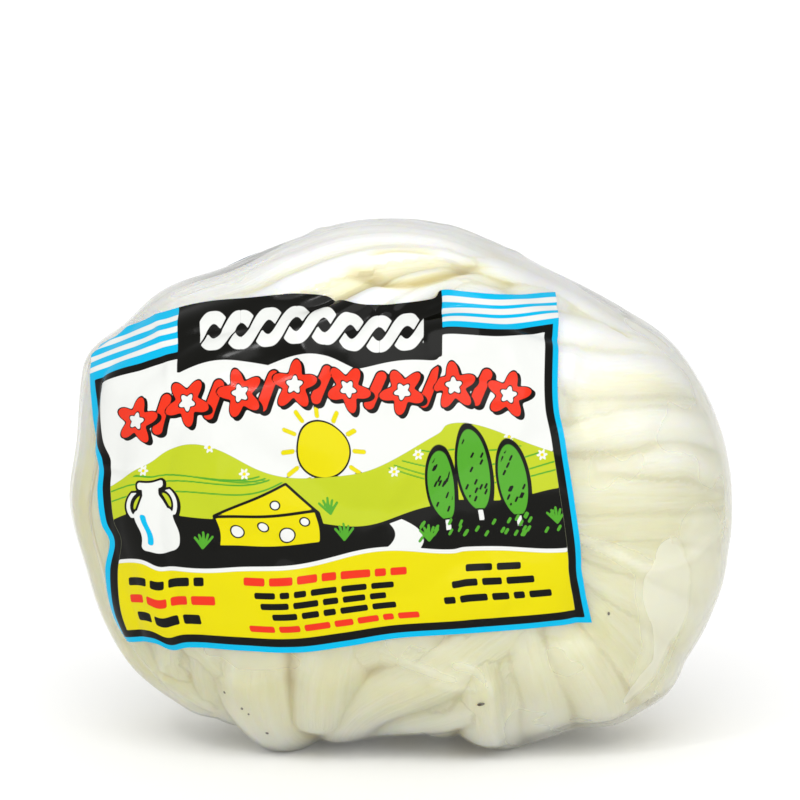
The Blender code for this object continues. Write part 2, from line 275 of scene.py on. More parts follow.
def fingers():
    """Each finger goes from the front to the right edge, round it and onto the back."""
    for x_start, z_start, x_way, z_way, z_edge, half, lift in FINGERS_MM:
        edge = rim_point(BEYOND_RIGHT_MM, z_edge)
        x_edge = edge[0] / MM
        curve = smooth_curve([
            face_point(x_start, z_start, -1),
            face_point(x_way, z_way, -1),
            face_point(x_edge - BEFORE_EDGE_MM, (z_way + z_edge) / 2, -1),
            edge,
            face_point(x_edge - BEHIND_EDGE_MM, z_edge, 1),
            face_point(x_edge * FINGER_END[0], z_edge - FINGER_END[1], 1),
        ])  # fmt: skip
        grown = risen(curve)
        width = half * MM * (FINGER_TIP + (1 - FINGER_TIP) * grown)
        yield curve, width, (lift - TIP_SINK_MM * (1 - grown)) * MM


FINGERS = [*fingers()]
print(len(FINGERS), "fingers")

# %% [markdown]
# ### The hank and its tail
#
# A hank of strands is pinched together near the top right. From there it fans out
# over the top and down the left side, and its tail does the same down the right of
# the back. Combed strands like these need no row of points each: all of them follow
# the outline, and a row only says at what depth.

# %% The hank over the top, and its tail
# how far behind the middle, half the width, lift
HANK_MM = [
    (-34.0, 3.2, -0.4),
    (-29.6, 3.2, 0.1),
    (-25.4, 2.4, -1.8),
    (-21.0, 3.0, 0.3),
    (-12.5, 5.8, 0.5),
    (-6.0, 6.0, 0.6),
    (0.5, 6.0, 0.5),
    (7.0, 5.6, 0.3),
    (13.5, 4.4, 0.0),
    (19.5, 4.0, 0.4),
    (25.5, 3.4, -0.2),
    (31.0, 3.0, 0.3),
    (35.5, 2.6, 0.0),
]
# the tail: the same
TAIL_MM = [
    (-3.0, 3.8, -0.3),
    (5.0, 4.2, 0.2),
    (13.0, 4.0, 0.3),
    (20.0, 3.8, 0.0),
    (26.5, 3.4, 0.3),
    (32.0, 3.0, 0.1),
    (36.0, 2.6, -0.2),
]
HANK_TURNS, TAIL_TURNS, PINCH_TURN_DEG = (64, 224), (80, 10), 44
HANK_DIVE_MM, TAIL_DIVE_MM = 0.0, 2.6
PINCH_SPREAD, PINCH_DEPTH_MM = 0.30, -15
WANDER_MM, WANDERS, WANDER_PHASE = 0.8, 2.2, 1.7
FAN_POINTS, THINNEST = 12, 0.55  # points of a curve, and least share of a strand's width


def fan(rows, turns, dive):
    """Strands that spread out from the pinch and go round the outline, each at about
    its own depth with a slow wave in it, and sink by dive in their second half."""
    turn = np.radians(np.linspace(*turns, FAN_POINTS))
    spread = ease(np.abs(turn - turn[0]) / math.radians(PINCH_TURN_DEG))
    spread = PINCH_SPREAD + (1 - PINCH_SPREAD) * spread
    for number, (y, half, lift) in enumerate(rows):
        stray = WANDER_MM * np.sin(WANDERS * turn + WANDER_PHASE * number)
        depth = (PINCH_DEPTH_MM + (y + stray - PINCH_DEPTH_MM) * spread) * MM
        across = (1 - (np.abs(depth) / (BALL_DEPTH / 2)) ** FLATNESS) ** (1 / FLATNESS)
        radius = outline_radius(turn) * across
        curve = smooth_curve(np.stack([radius * np.cos(turn), depth, radius * np.sin(turn)], 1))
        t = np.linspace(0, 1, len(curve))
        width = np.interp(t, np.linspace(0, 1, len(turn)), spread)
        sunk = TIP_SINK_MM * (1 - risen(curve)) + dive * ease(2 * t - 0.9)
        yield curve, half * MM * np.maximum(width, THINNEST), (lift - sunk) * MM


def hank():
    """Over the top and down the left side, and its tail down the right of the back."""
    yield from fan(HANK_MM, HANK_TURNS, HANK_DIVE_MM)
    yield from fan(TAIL_MM, TAIL_TURNS, TAIL_DIVE_MM)


HANK = [*hank()]
print(len(HANK), "strands in the hank and its tail")

# %% [markdown]
# ### The plait, and a bundle down the back
#
# Under the panels only the low relief of the plait shows, so a few pairs of crossing
# arms are enough there. Behind, a last bundle goes straight down from the pinch and
# fills the place between the hank and its tail.

# %% The plait and the bundle
PLAIT_HEIGHTS_MM = (30, 48, 66, 84)
PLAIT_MIDDLE_MM, PLAIT_REACH_MM, PLAIT_RISE_MM = -4, 33, 12
PLAIT_HALF_MM, PLAIT_LIFT_MM, PLAIT_TAPER = 8.5, -0.5, 0.35
PLAIT_ARM = [(-0.15, -0.3), (0.5, 0.5), (1.0, 1.0)]  # points, in shares of reach and rise

# the bundle: x at the top, on the way and at the end; half the width; lift
BUNDLE_MM = [
    (15.0, 6, -1, 3.4, -1.6),
    (16.5, 11, 6, 3.6, -1.2),
    (18.0, 16, 13, 3.6, -1.3),
    (19.5, 21, 20, 3.2, -1.7),
]
BUNDLE_HEIGHTS_MM = (103.5, 105, 99, 86)  # in front, at the top, on the way, at the end


def plait():
    """On each face, arms that come down from both sides to each crossing."""
    for side in (-1, 1):
        for z in PLAIT_HEIGHTS_MM:
            for reach in (-PLAIT_REACH_MM, PLAIT_REACH_MM):
                curve = smooth_curve([
                    face_point(PLAIT_MIDDLE_MM + reach * out, z + PLAIT_RISE_MM * up, side)
                    for out, up in PLAIT_ARM
                ])  # fmt: skip
                half = PLAIT_HALF_MM * MM * (1 - PLAIT_TAPER * np.linspace(0, 1, len(curve)))
                yield curve, half, np.full(len(curve), PLAIT_LIFT_MM * MM)


def bundle():
    """From the pinch straight down the back, between the hank and its tail."""
    z_front, z_top, z_way, z_end = BUNDLE_HEIGHTS_MM
    for x_top, x_way, x_end, half, lift in BUNDLE_MM:
        curve = smooth_curve([
            face_point(x_top, z_front, -1),
            rim_point(x_top, z_top),
            face_point(x_way, z_way, 1),
            face_point(x_end, z_end, 1),
        ])  # fmt: skip
        yield curve, np.full(len(curve), half * MM), np.full(len(curve), lift * MM)


STRANDS = [*LOBES, *FINGERS, *HANK, *plait(), *bundle()]
print(len(STRANDS), "strands in all")

# %% [markdown]
# ## How the skin lies on the strands
#
# Shrink film touches the crown of each strand and bridges the crease between two. A
# cloth simulation could find that, but it would have to be stiff, tight and fine all
# at once. A soft maximum says it directly: each strand is a low parabola across, and
# the film is their smooth upper hull. Where the film is printed or pulled straight it
# is stiffer, and hides part of that relief.

# %% Distance to a curve, and the relief
ROUNDNESS = 0.38  # steepness of a strand's parabola
GROOVE_DEPTH = 0.0036
SKIN_SOFTNESS = 0.00055
RELIEF_REACH = 2.5  # how far from its middle a strand counts, in halves of its width


def nearest(points, curve):
    """Distance from each point to the curve, negative on its left as seen from
    outside, and how far along it that is, 0 to 1. The closest sample comes first,
    then the stretches on either side of it."""
    square = -2 * points @ curve.T + (curve**2).sum(1)
    best = square.argmin(1)
    gap, along, side = np.full(len(points), np.inf), np.zeros(len(points)), np.ones(len(points))
    for first in (np.maximum(best - 1, 0), np.minimum(best, len(curve) - 2)):
        start, step = curve[first], curve[first + 1] - curve[first]
        t = np.clip(((points - start) * step).sum(1) / (step**2).sum(1), 0, 1)
        off = np.linalg.norm(points - start - t[:, None] * step, axis=1)
        nearer = off < gap
        left = (np.cross(step, points - start) * points).sum(1) > 0
        gap = np.where(nearer, off, gap)
        side = np.where(nearer, np.where(left, -1.0, 1.0), side)
        along = np.where(nearer, (first + t) / (len(curve) - 1), along)
    return gap * side, along


def close_to(points, curve, reach):
    """Numbers of the points inside the curve's box grown by reach."""
    low, high = curve.min(0) - reach, curve.max(0) + reach
    return np.flatnonzero(((points > low) & (points < high)).all(1))


def relief(points, strands):
    """Height of the skin over the ball: softness times the log of the sum of
    exp(height / softness) over all strands and the bare groove."""
    total = np.full(len(points), math.exp(-GROOVE_DEPTH / SKIN_SOFTNESS))
    for curve, half, lift in strands:
        close = close_to(points, curve, RELIEF_REACH * half.max())
        off, along = nearest(points[close], curve)
        width, crown = (np.interp(along, np.linspace(0, 1, len(v)), v) for v in (half, lift))
        height = crown - ROUNDNESS * width * (off / width) ** 2
        total[close] += np.exp(np.maximum(height, -3 * GROOVE_DEPTH) / SKIN_SOFTNESS)
    return SKIN_SOFTNESS * np.log(total)


crown_height = max(lift.max() for _, _, lift in STRANDS)
print("the highest strand stands out by", round(crown_height / MM, 1), "mm")

# %% Where the film hides the relief, and where it stands off
# side, x and z of the middle, half the width and height, share of relief hidden
PANELS_MM = [
    (-1, -12, 55, 46, 33, 0.72),
    (-1, 57, 26, 15, 25, 0.80),
    (-1, 36, 14, 16, 13, 0.55),
    (-1, 50, 62, 16, 26, 0.45),
    (1, -6, 58, 44, 33, 0.60),
]
# middle and half the length as turns, how far behind the middle, half the width,
# and share of relief hidden
TENTS = [
    (22, 64, 2, 24, 0.94), (138, 26, -4, 22, 0.92), (-48, 32, -2, 19, 0.88), (182, 32, 0, 18, 0.55),
    (102, 28, 2, 15, 0.65),
]  # fmt: skip
# where the film stands off the cheese: the same, but last how far in millimetres
STAND_OFFS = [(8, 50, 2, 24, 1.5), (138, 30, -4, 24, 1.3), (-44, 26, 0, 18, 1.3), (182, 30, 0, 18, 0.5)]
CLING_MM = 0.35  # film and the thin layer of brine under it
PANEL_GAP_MM = 1.3
TENT_EDGE_DEG, PANEL_EDGE = 16, 1.8  # softness of the edge of a tent, and of a panel


def arc_window(x, y, z, middle, half_long, y_mid, half_wide):
    """1 on an arc of the outline and 0 away from it, with soft edges."""
    turn = np.mod(np.degrees(np.arctan2(z, x)) - middle + 180, 360) - 180
    window = ease((half_long - np.abs(turn)) / TENT_EDGE_DEG)
    return window * np.exp(-(((y - y_mid) / half_wide) ** 4))


def face_window(x, z, x_mid, z_mid, half_wide, half_high):
    """1 in an oblong on a face and 0 outside it, with soft edges: the fourth powers of
    the shares across and up add up to 1 on its outline."""
    off = ((x - x_mid) / half_wide) ** 4 + ((z + CENTRE_HEIGHT / MM - z_mid) / half_high) ** 4
    return ease(PANEL_EDGE - off)


def held(points):
    """Share of the relief that the film hides, and the gap left under it: flat
    windows with soft edges for the panels, and arcs along the outline."""
    x, y, z = points.T / MM
    share, gap = np.zeros(len(points)), np.full(len(points), CLING_MM)
    for side, *oblong, hides in PANELS_MM:
        window = face_window(x, z, *oblong) * (side * y > 0)
        share = np.maximum(share, hides * window)
        gap = np.maximum(gap, PANEL_GAP_MM * window)
    for *arc, hides in TENTS:
        share = np.maximum(share, hides * arc_window(x, y, z, *arc))
    for *arc, stands_off in STAND_OFFS:
        gap = np.maximum(gap, stands_off * arc_window(x, y, z, *arc))
    return share, gap * MM


print(len(PANELS_MM), "panels and", len(TENTS), "tents hide relief")

# %% [markdown]
# ## Folds in the film
#
# Shrinking pulls the spare film into small pleats: soft ridges a fraction of a
# millimetre high that run from a corner or along an edge. They are curves too, each
# with its height and width. Where film doesn't touch the wet cheese it looks milky, and
# that is drawn as bands along a pleat and round the rim. On the flap of the bag's seam
# at the lower right, and in a band beside it, the white is a painted reflection of a light.

# %% Pleats
# points x, z on the printed face in millimetres; height; half the width
PLEATS_MM = [
    ([(31, 51), (41, 46.5), (48, 42.5), (53, 42.0), (59, 44.5), (65, 50)], 0.45, 1.3),
    ([(47.8, 46), (47.2, 38), (48.6, 31), (49.6, 25), (47.2, 19), (44.5, 13)], 0.25, 1.6),
    ([(-49, 94), (-58, 86), (-63, 80)], 0.6, 1.4),
    ([(-49, 94), (-36, 98.6), (-22, 103.6)], 0.4, 1.4),
    ([(-49, 94), (-46, 86), (-44, 76)], 0.4, 1.3),
    ([(-1, 24), (6, 22.0), (13, 20)], 0.34, 1.0),
    ([(4, 21), (11, 18.5), (17, 19)], 0.30, 1.0),
    ([(9, 24), (15, 22.0), (19, 15)], 0.36, 1.0),
    ([(-46, 23), (-47.5, 19), (-45, 13)], 0.34, 1.0),
    ([(-60, 63), (-55, 61.5), (-48, 62.5)], 0.4, 1.0),
    ([(-8, 96), (0, 92), (6, 86)], 0.3, 1.2),
    ([(5, 66), (-2, 58), (-6, 48)], 0.35, 1.8),
    ([(-20, 90), (-17, 80), (-19, 70)], 0.30, 1.8),
    ([(20, 90), (24, 78), (22, 64)], 0.30, 2.0),
    ([(-40, 80), (-36, 68), (-38, 54)], 0.30, 2.0),
    ([(16, 50), (20, 40), (16, 30)], 0.35, 1.8),
    ([(-24, 46), (-20, 36), (-24, 26)], 0.35, 1.8),
]
HIDDEN_PLEATS = 34  # on the sides and the back, by a rule


def pleat_lines():
    """The pleats in front as drawn, then those on the sides and the back: each starts
    at a place and in a direction of its own, and bends a little on its way."""
    for line, height, half in PLEATS_MM:
        yield smooth_curve([face_point(x, z, -1) for x, z in line], 30), height * MM, half * MM
    draw = np.random.default_rng(23)
    for _ in range(HIDDEN_PLEATS):
        start = on_ball(np.array([draw.uniform(-60, 60), draw.uniform(4, 36), draw.uniform(-46, 46)]))
        way = unit(np.cross(start, draw.normal(size=3)))
        bend = unit(np.cross(start, way)) * draw.uniform(-0.006, 0.006)
        length = draw.uniform(0.014, 0.036)
        curve = smooth_curve([start, start + way * length / 2 + bend, start + way * length], 30)
        yield curve, draw.uniform(0.25, 0.55) * MM, draw.uniform(1.1, 1.7) * MM


def fading(along):
    """1 on a curve, eased to 0 over its first and its last quarter."""
    return ease(along * 4) * ease((1 - along) * 4)


def pleats(points):
    """Height that the pleats add: each is height times exp(-(gap / half width)
    squared), faded out towards both ends."""
    rise = np.zeros(len(points))
    for curve, height, half in pleat_lines():
        close = close_to(points, curve, 3 * half)
        off, along = nearest(points[close], curve)
        rise[close] += height * fading(along) * np.exp(-((off / half) ** 2))
    return rise


print(len(PLEATS_MM), "pleats as drawn, and", HIDDEN_PLEATS, "by a rule")

# %% Milky bands, and the flap with its painted reflection
# x, z in front and half the width there; share of white; softness of its edges
HAZES_AND_GLARE_MM = [
    # this first band is a painted reflection of a light beside the flap, not milky film
    ([(60, 47, 6), (61, 38, 6.5), (59, 28, 5.5), (55, 18, 4)], 0.20, 4.5),
    ([(31, 51, 0.6), (41, 46.5, 0.7), (48, 42.5, 0.8), (57, 43.5, 0.7), (65, 49, 0.6)], 0.12, 0.8),
    ([(48, 89, 2), (58, 79, 3), (65, 65, 3.5), (67, 52, 3.5), (66, 40, 3)], 0.14, 4.0),
]  # fmt: skip
# the flap, painted white as a painted reflection of a light: x, z and half the width, and softness of its
# left and of its right edge
FLAP_GLARE_MM = [(53.4, 44.0, 4.0), (53.2, 41.0, 6.0), (53.0, 37.0, 6.5), (53.6, 31.5, 5.4), (52.2, 25.6, 2.9),
           (51.0, 22.0, 1.9), (48.8, 18.5, 2.5), (45.7, 14.0, 1.5)]  # fmt: skip
FLAP_GLARE_SOFT_MM, FLAP_GLARE_WHITE = (0.35, 2.8), 0.60


def band_inside(points, rows):
    """Depth inside the edge of a band drawn on the printed face (below 0 outside), and
    which points lie on its left."""
    curve = smooth_curve([face_point(x, z, -1) for x, z, _ in rows], 60)
    off, along = nearest(points, curve)
    half = np.interp(along, np.linspace(0, 1, len(rows)), [row[2] for row in rows]) * MM
    return half - np.abs(off), off > 0


def drawn_haze_and_glare(points):
    """White that the bands add, milky film and one painted reflection: full in the middle
    of each, and eased to 0 over the softness of its edge."""
    white = np.zeros(len(points))
    for rows, amount, soft in HAZES_AND_GLARE_MM:
        white = np.maximum(white, amount * ease(band_inside(points, rows)[0] / (soft * MM) + 0.5))
    return white


def flap_glare_depth(points):
    """Depth inside the flap's edge, in units of that edge's softness. A material turns it
    into painted white, a painted reflection of a light, between -0.5 and 0.5, which stays crisp between
    corners of the mesh."""
    inside, left = band_inside(points, FLAP_GLARE_MM)
    return inside / (np.where(left, *FLAP_GLARE_SOFT_MM) * MM)


print(len(HAZES_AND_GLARE_MM), "milky bands, and a flap drawn through", len(FLAP_GLARE_MM), "places")

# %% The height of the film, from all of the above
def film_rise(ball):
    """Height of the film over points of the ball (relief less what is held, plus
    pleats), the gap under it, the pleats alone, and the share that is held."""
    share, gap = held(ball)
    folds = pleats(ball)
    return relief(ball, STRANDS) * (1 - share) + folds, gap, folds, share


def raised(ball, height):
    """Points of the ball moved out along their radius."""
    return ball + unit(ball) * height[:, None]


def film_at(points):
    """The point of the film in the direction of each point."""
    ball = on_ball(points)
    return raised(ball, film_rise(ball)[0])


top_of_film = film_at(np.array([[0.0, 0.0, 1.0]]))[0, 2] + CENTRE_HEIGHT
print("the film's top lies about", round(top_of_film / MM, 1), "mm up")

# %% [markdown]
# ## From functions to meshes
#
# A ball is often a UV sphere, whose poles pinch, or an icosphere, whose rows don't
# line up. A cube cut into squares and blown up has neither fault, and its lattice is a
# few lines of numpy: six faces on one integer grid, with shared corners merged.

# %% Lattice and mesh helpers
def cube_lattice(cuts):
    """Corners (-1 to 1) and squares of a cube with cuts by cuts squares a face. Each
    corner's three integers make one key, so that corners that coincide are merged."""
    i, j = np.meshgrid(np.arange(cuts + 1), np.arange(cuts + 1), indexing="ij")
    low, high = np.zeros_like(i), np.full_like(i, cuts)
    sides = [(low, j, i), (high, i, j), (i, low, j), (j, high, i), (j, i, low), (i, j, high)]
    keys = np.array([(x * (cuts + 1) + y) * (cuts + 1) + z for x, y, z in sides])
    unique, number = np.unique(keys, return_inverse=True)
    number = number.reshape(keys.shape)
    row = cuts + 1
    corners = np.stack([unique // row**2, unique // row % row, unique % row], 1)
    squares = np.stack(
        [number[:, :-1, :-1], number[:, 1:, :-1], number[:, 1:, 1:], number[:, :-1, 1:]], -1
    )
    return corners * (2 / cuts) - 1.0, squares.reshape(-1, 4)


def ball_lattice(cuts):
    """The cube's corners on the ball. The tangent keeps the squares nearly equal."""
    corners, squares = cube_lattice(cuts)
    return on_ball(np.tan(corners * math.pi / 4)), squares


def make_mesh(name, points, faces):
    """An object at the origin with these corners and four-sided faces (a face with
    two like corners in a row becomes a triangle)."""
    faces = np.asarray(faces)
    mesh = bpy.data.meshes.new(name)
    mesh.vertices.add(len(points))
    mesh.vertices.foreach_set("co", np.ascontiguousarray(points, np.float32).ravel())
    triangle = faces[:, 3] == faces[:, 2]
    count = np.where(triangle, 3, 4)
    keep = np.ones(faces.shape, bool)
    keep[triangle, 3] = False
    mesh.loops.add(int(count.sum()))
    mesh.loops.foreach_set("vertex_index", faces[keep].astype(np.int32))
    mesh.polygons.add(len(faces))
    mesh.polygons.foreach_set("loop_start", (np.cumsum(count) - count).astype(np.int32))
    mesh.polygons.foreach_set("use_smooth", np.ones(len(faces), bool))
    mesh.update(calc_edges=True)
    mesh.validate()
    obj = bpy.data.objects.new(name, mesh)
    bpy.context.scene.collection.objects.link(obj)
    return obj


def add_values(obj, name, values):
    """A value for each corner of the mesh, which a material reads by its name."""
    obj.data.attributes.new(name, "FLOAT", "POINT")
    obj.data.attributes[name].data.foreach_set("value", np.asarray(values, np.float32))


print("a cube cut in 2 has", len(cube_lattice(2)[0]), "corners and", len(cube_lattice(2)[1]), "squares")

# %% [markdown]
# ## The film
#
# The film is the outermost surface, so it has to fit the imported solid. It is worked
# out first, its lowest lobes are pressed flat on the floor, and the small shift and
# scale that bring it to the solid's box are kept for all that lies inside it.

# %% Build the film, and the placing that every piece shares
BALL_CUTS = 127
BASE_CUT = 0.0018  # height of the lowest lobes' tips, which the floor presses flat
# share of white everywhere, and more for each millimetre of gap and of pleat
HAZE_ALL, HAZE_GAP, HAZE_FOLD = 0.08, 0.12, 0.35
ball, ball_squares = ball_lattice(BALL_CUTS)
film_height, film_gap, film_folds, film_hold = film_rise(ball)
film_points = raised(ball, film_height)
FLOOR_LEVEL = film_points[:, 2].min() + BASE_CUT
pressed = np.maximum(film_points, [-1, -1, FLOOR_LEVEL])
RAW_LOW, RAW_HIGH = pressed.min(0), pressed.max(0)
SCALE = (HIGH - LOW) / (RAW_HIGH - RAW_LOW)


def place(points, clearance=0.0):
    """From the ball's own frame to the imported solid's: pressed flat below, then
    scaled and moved so that the film's box becomes the solid's."""
    placed = (points - RAW_LOW) * SCALE + LOW
    return np.maximum(placed, [-1, -1, LOW[2] + clearance])


film = make_mesh("film", place(film_points), ball_squares)
# white of milky film, and of the painted reflection in the band beside the flap
haze_and_glare = HAZE_ALL + (HAZE_GAP * film_gap + HAZE_FOLD * film_folds) / MM + drawn_haze_and_glare(ball)
add_values(film, "haze_and_glare", haze_and_glare)
add_values(film, "flap", flap_glare_depth(ball))
print("film", len(ball_squares) * 2, "triangles, scaled by", np.round(SCALE, 3))

# %% [markdown]
# ## Placing by what is seen
#
# Some things are known only by where they show from the front: the edges of the panel,
# a few deep creases and the seeds. One could press them in by eye. A search is surer:
# a guess slides over the surface until it is seen in the right place.

# %% From places seen in front to places on the surface
VIEW_ELEVATION_DEG = 8
VIEW_FOOT = np.array([0, -0.010, LOW[2]])  # the ball's lowest point as seen from the front


def sight(side, elevation_deg):
    """Right and up in a view from the front (side -1) or from behind (1), raised by an
    angle: right is level, and up leans away from the viewer by the angle."""
    angle = math.radians(elevation_deg)
    return np.array([-side, 0, 0]), np.array([0, -side * math.sin(angle), math.cos(angle)])


def even_line(points, count):
    """The smooth line through the points, at even steps of its length."""
    line = smooth_line(points, 400)
    length = np.concatenate([[0], np.cumsum(np.linalg.norm(np.diff(line, axis=0), axis=1))])
    at = np.linspace(0, length[-1], count)
    return np.stack([np.interp(at, length, line[:, k]) for k in range(2)], 1)


def look_back(seen, side, elevation_deg, surface, rounds):
    """Points of a surface that are seen at given places in a view: a guess slides over
    the surface until what is seen agrees."""
    right, up = sight(side, elevation_deg)
    guess = right * seen[:, :1] + np.array([0, side * BALL_DEPTH / 2, 0]) + up * seen[:, 1:]
    for _ in range(rounds):
        found = surface(guess)
        guess = found + right * (seen[:, :1] - found @ right[:, None])
        guess = guess + up * (seen[:, 1:] - found @ up[:, None])
    return surface(guess)


def seen_from_front(seen_mm):
    """Places in the ball's own frame. Heights are given over the foot of the view, so
    that foot is taken back through the placing, and its height is added."""
    raw_foot = (VIEW_FOOT - LOW) / SCALE + RAW_LOW
    return seen_mm * MM + np.array([0, raw_foot @ sight(-1, VIEW_ELEVATION_DEG)[1]])


print("foot of the view", np.round(seen_from_front(np.zeros((1, 2)))[0] / MM, 1), "mm")

# %% [markdown]
# ## The cheese
#
# The plain way to build a plait is a tube for each strand. But soft curd that is
# pressed in a bag merges: strands flatten against the film and against one another,
# light scatters from one into the next, and only shallow creases are left. So the
# cheese is one closed surface, the upper hull of round strands, and the film above
# limits it. Every strand is a bundle of strings, which the surface has as fine ribs.

# %% The hull of the strands
FULLNESS = 1.25  # radius of a strand, as a share of half its width
WOBBLES = ((0.06, 0.011), (0.03, 0.0047))  # of the width: share, and length over which
STRING_MM, RIB_DEPTH_MM = 2.8, 0.16  # width of a string of curd, and depth between two
STRING_SWAY, STRING_SWAY_LENGTH = 1.5, 0.019
CORE_SINK = 0.0045  # the curd under the strands
HULL_SOFTNESS = 0.00030
HULL_REACH = 1.6  # how far from its middle a strand counts, in halves of its width
rng = np.random.default_rng(7)


def curd_hull(points):
    """Height over the ball of the upper hull of round strands: each rises to
    lift - radius + sqrt(radius squared - distance squared), and the hull is their
    soft maximum. Also the place along and across the strand on top, and its number."""
    total = np.full(len(points), math.exp(-CORE_SINK / HULL_SOFTNESS))
    top = np.full(len(points), -CORE_SINK)
    along_m, across_m, which = np.zeros((3, len(points)))
    for curve, half, lift in STRANDS:
        phase = rng.uniform(0, 6.28, 3)
        long_way = np.linalg.norm(np.diff(curve, axis=0), axis=1).sum()
        close = close_to(points, curve, HULL_REACH * half.max())
        off, along = nearest(points[close], curve)
        length = along * long_way
        wobble = np.ones(len(close))
        for (share, wave), start in zip(WOBBLES, phase):
            wobble += share * np.sin(length / wave + start)
        width, crown = (np.interp(along, np.linspace(0, 1, len(v)), v) for v in (half, lift))
        radius = FULLNESS * width * wobble
        inside = np.clip(1 - (off / radius) ** 2, 0, 1)
        sway = STRING_SWAY * np.sin(length / STRING_SWAY_LENGTH + phase[2])
        ribs = RIB_DEPTH_MM * MM * (1 - np.abs(np.sin(math.pi * off / (STRING_MM * MM) + sway)))
        height = crown - radius * (1 - np.sqrt(inside)) - ribs
        height = np.where(inside > 0, height, -CORE_SINK)
        total[close] += np.exp(np.maximum(height, -2 * CORE_SINK) / HULL_SOFTNESS)
        over = height > top[close]
        top[close] = np.where(over, height, top[close])
        for values, found in ((along_m, length), (across_m, off), (which, phase[0])):
            values[close] = np.where(over, found, values[close])
    return HULL_SOFTNESS * np.log(total), along_m, across_m, which


hull, along, across, which = curd_hull(ball)
print("hull from", round(hull.min() / MM, 1), "to", round(hull.max() / MM, 1), "mm over the ball")

# %% [markdown]
# ### Deep creases and calm places
#
# The hull gives every crease by one rule, but the real ball isn't that even: a few
# creases over the top are deeper, and on the right the curd is pressed nearly flat.
# So some creases are drawn where they are seen, and windows calm the others.

# %% Creases that are drawn, and windows where creases stay shallow
# as seen from the front: x and z; depth; half the width
CREASES_MM = [
    ([(-8.1, 100.8), (-2, 102.4), (4, 102.2), (9.3, 101.2)], 1.8, 0.9),
    ([(-14.5, 99.6), (-7.5, 97.2), (-3.6, 95.6), (1, 95.6), (5.5, 96.4), (14.5, 99.0), (21, 100)],
     3.0, 1.5),
    ([(43.0, 88.8), (46, 87.4), (49, 85.4)], 1.9, 1.1),
    ([(34, 72.5), (42, 74.8), (50, 75.6), (60, 72.5)], 1.2, 3.0),
]  # fmt: skip
# x and z of the middle, half the width and height, share lost
CALM_MM = [(49, 68, 20, 34, 0.60), (38, 24, 24, 20, 0.40)]
CALM_FADE_MM = 12  # over this depth from front to back the windows end


def drawn_creases(points):
    """Depth of the creases that were drawn: each is depth times exp(-(gap / half
    width) squared), faded out towards both ends."""
    deep = np.zeros(len(points))
    for line, depth, half in CREASES_MM:
        seen = seen_from_front(even_line(line, 24))
        curve = look_back(seen, -1, VIEW_ELEVATION_DEG, film_at, 8)
        close = close_to(points, curve, 3 * half * MM)
        off, along = nearest(points[close], on_ball(curve))
        rise = depth * MM * fading(along) * np.exp(-((off / (half * MM)) ** 2))
        deep[close] = np.maximum(deep[close], rise)
    return deep


def calmed(points):
    """Share of the creases' depth that is lost, in windows on the front with soft edges."""
    x, y, z = points.T / MM
    share = np.zeros(len(points))
    for *oblong, lost in CALM_MM:
        window = lost * face_window(x, z, *oblong) * ease(0.5 - y / CALM_FADE_MM)
        share = np.maximum(share, window)
    return share


drawn, calm = drawn_creases(ball), 1 - calmed(ball)
print("drawn creases are up to", round(drawn.max() / MM, 1), "mm deep")

# %% [markdown]
# ### The curd under the film
#
# Where the hull would come through the film it is pressed down, and the depth that is
# left of each crease follows from how deep it would have been. A value for each corner
# keeps how much of a crease it is, for the painted shade that makes a crease yellower
# than its depth alone shades it, and, below 0 on crowns, for a painted sheen.

# %% Build the cheese
PRESS_SOFTNESS = 0.0004
GIVE = ([0, 0.0035, 0.008], [0, 0.0008, 0.0018])  # depth of a crease: asked for, and left
FLATTENED = (0.42, 0.40)  # share of a crease lost everywhere, and more under tight film
# how much of a crease a place is, which sets painted crease shade, and below 0 a painted
# sheen, for each metre: asked for; of gap under the film; that the film lies below the
# ball; and that it lies above it, which takes away
TONE_ASKED, TONE_GAP, TONE_HOLLOW, TONE_CROWN = 0.8, 0.35, 0.8, 1.0
# of a drawn crease's depth: what the curd sinks by, what its painted crease shade gains, and at least has
DRAWN_SINKS, DRAWN_ADDS, DRAWN_LEAST = 0.4, 0.5, 1.15
CLEARANCE = 0.0003  # what lies inside the film stays this far above its flat feet

ceiling = film_height - film_gap
asked = PRESS_SOFTNESS * np.logaddexp(0, (ceiling - (hull - film_gap)) / PRESS_SOFTNESS)
sunk = np.interp(asked, *GIVE) * (1 - FLATTENED[0] - FLATTENED[1] * film_hold) * calm
sunk = sunk + DRAWN_SINKS * drawn
crease = TONE_ASKED * asked + TONE_GAP * (film_gap - CLING_MM * MM)
crease += np.where(film_height < 0, -TONE_HOLLOW, -TONE_CROWN) * film_height
crease *= np.where(crease > 0, calm, 1)
crease = np.maximum(crease + DRAWN_ADDS * drawn, DRAWN_LEAST * drawn)
cheese = make_mesh("cheese", place(raised(ball, ceiling - sunk), CLEARANCE), ball_squares)
for name, values in (("along", along), ("across", across), ("which", which), ("crease", crease / MM)):
    add_values(cheese, name, values)
print("cheese", len(ball_squares) * 2, "triangles; creases up to", round(sunk.max() / MM, 1), "mm")

# %% [markdown]
# ## The printed panels
#
# The print is ink on the film, so its surface is the film's, a hair's breadth higher.
# An image would be the usual way to draw it, but this scene has none. Each ink gets a
# field over the panel instead: the distance to the edge of its shapes, below 0 inside.
# Distances blend smoothly between the corners of the mesh, so a material that switches
# at 0 draws a crisp edge, finer than the mesh. The artwork is a plain dairy landscape.

# %% Distance fields for plain shapes, in millimetres on the flat panel
PANEL_WIDE, PANEL_HIGH = 96.0, 66.0
PANEL_COLUMNS, PANEL_ROWS = 360, 262
u, v = np.meshgrid(
    np.linspace(0, PANEL_WIDE, PANEL_COLUMNS), np.linspace(0, PANEL_HIGH, PANEL_ROWS), indexing="ij"
)


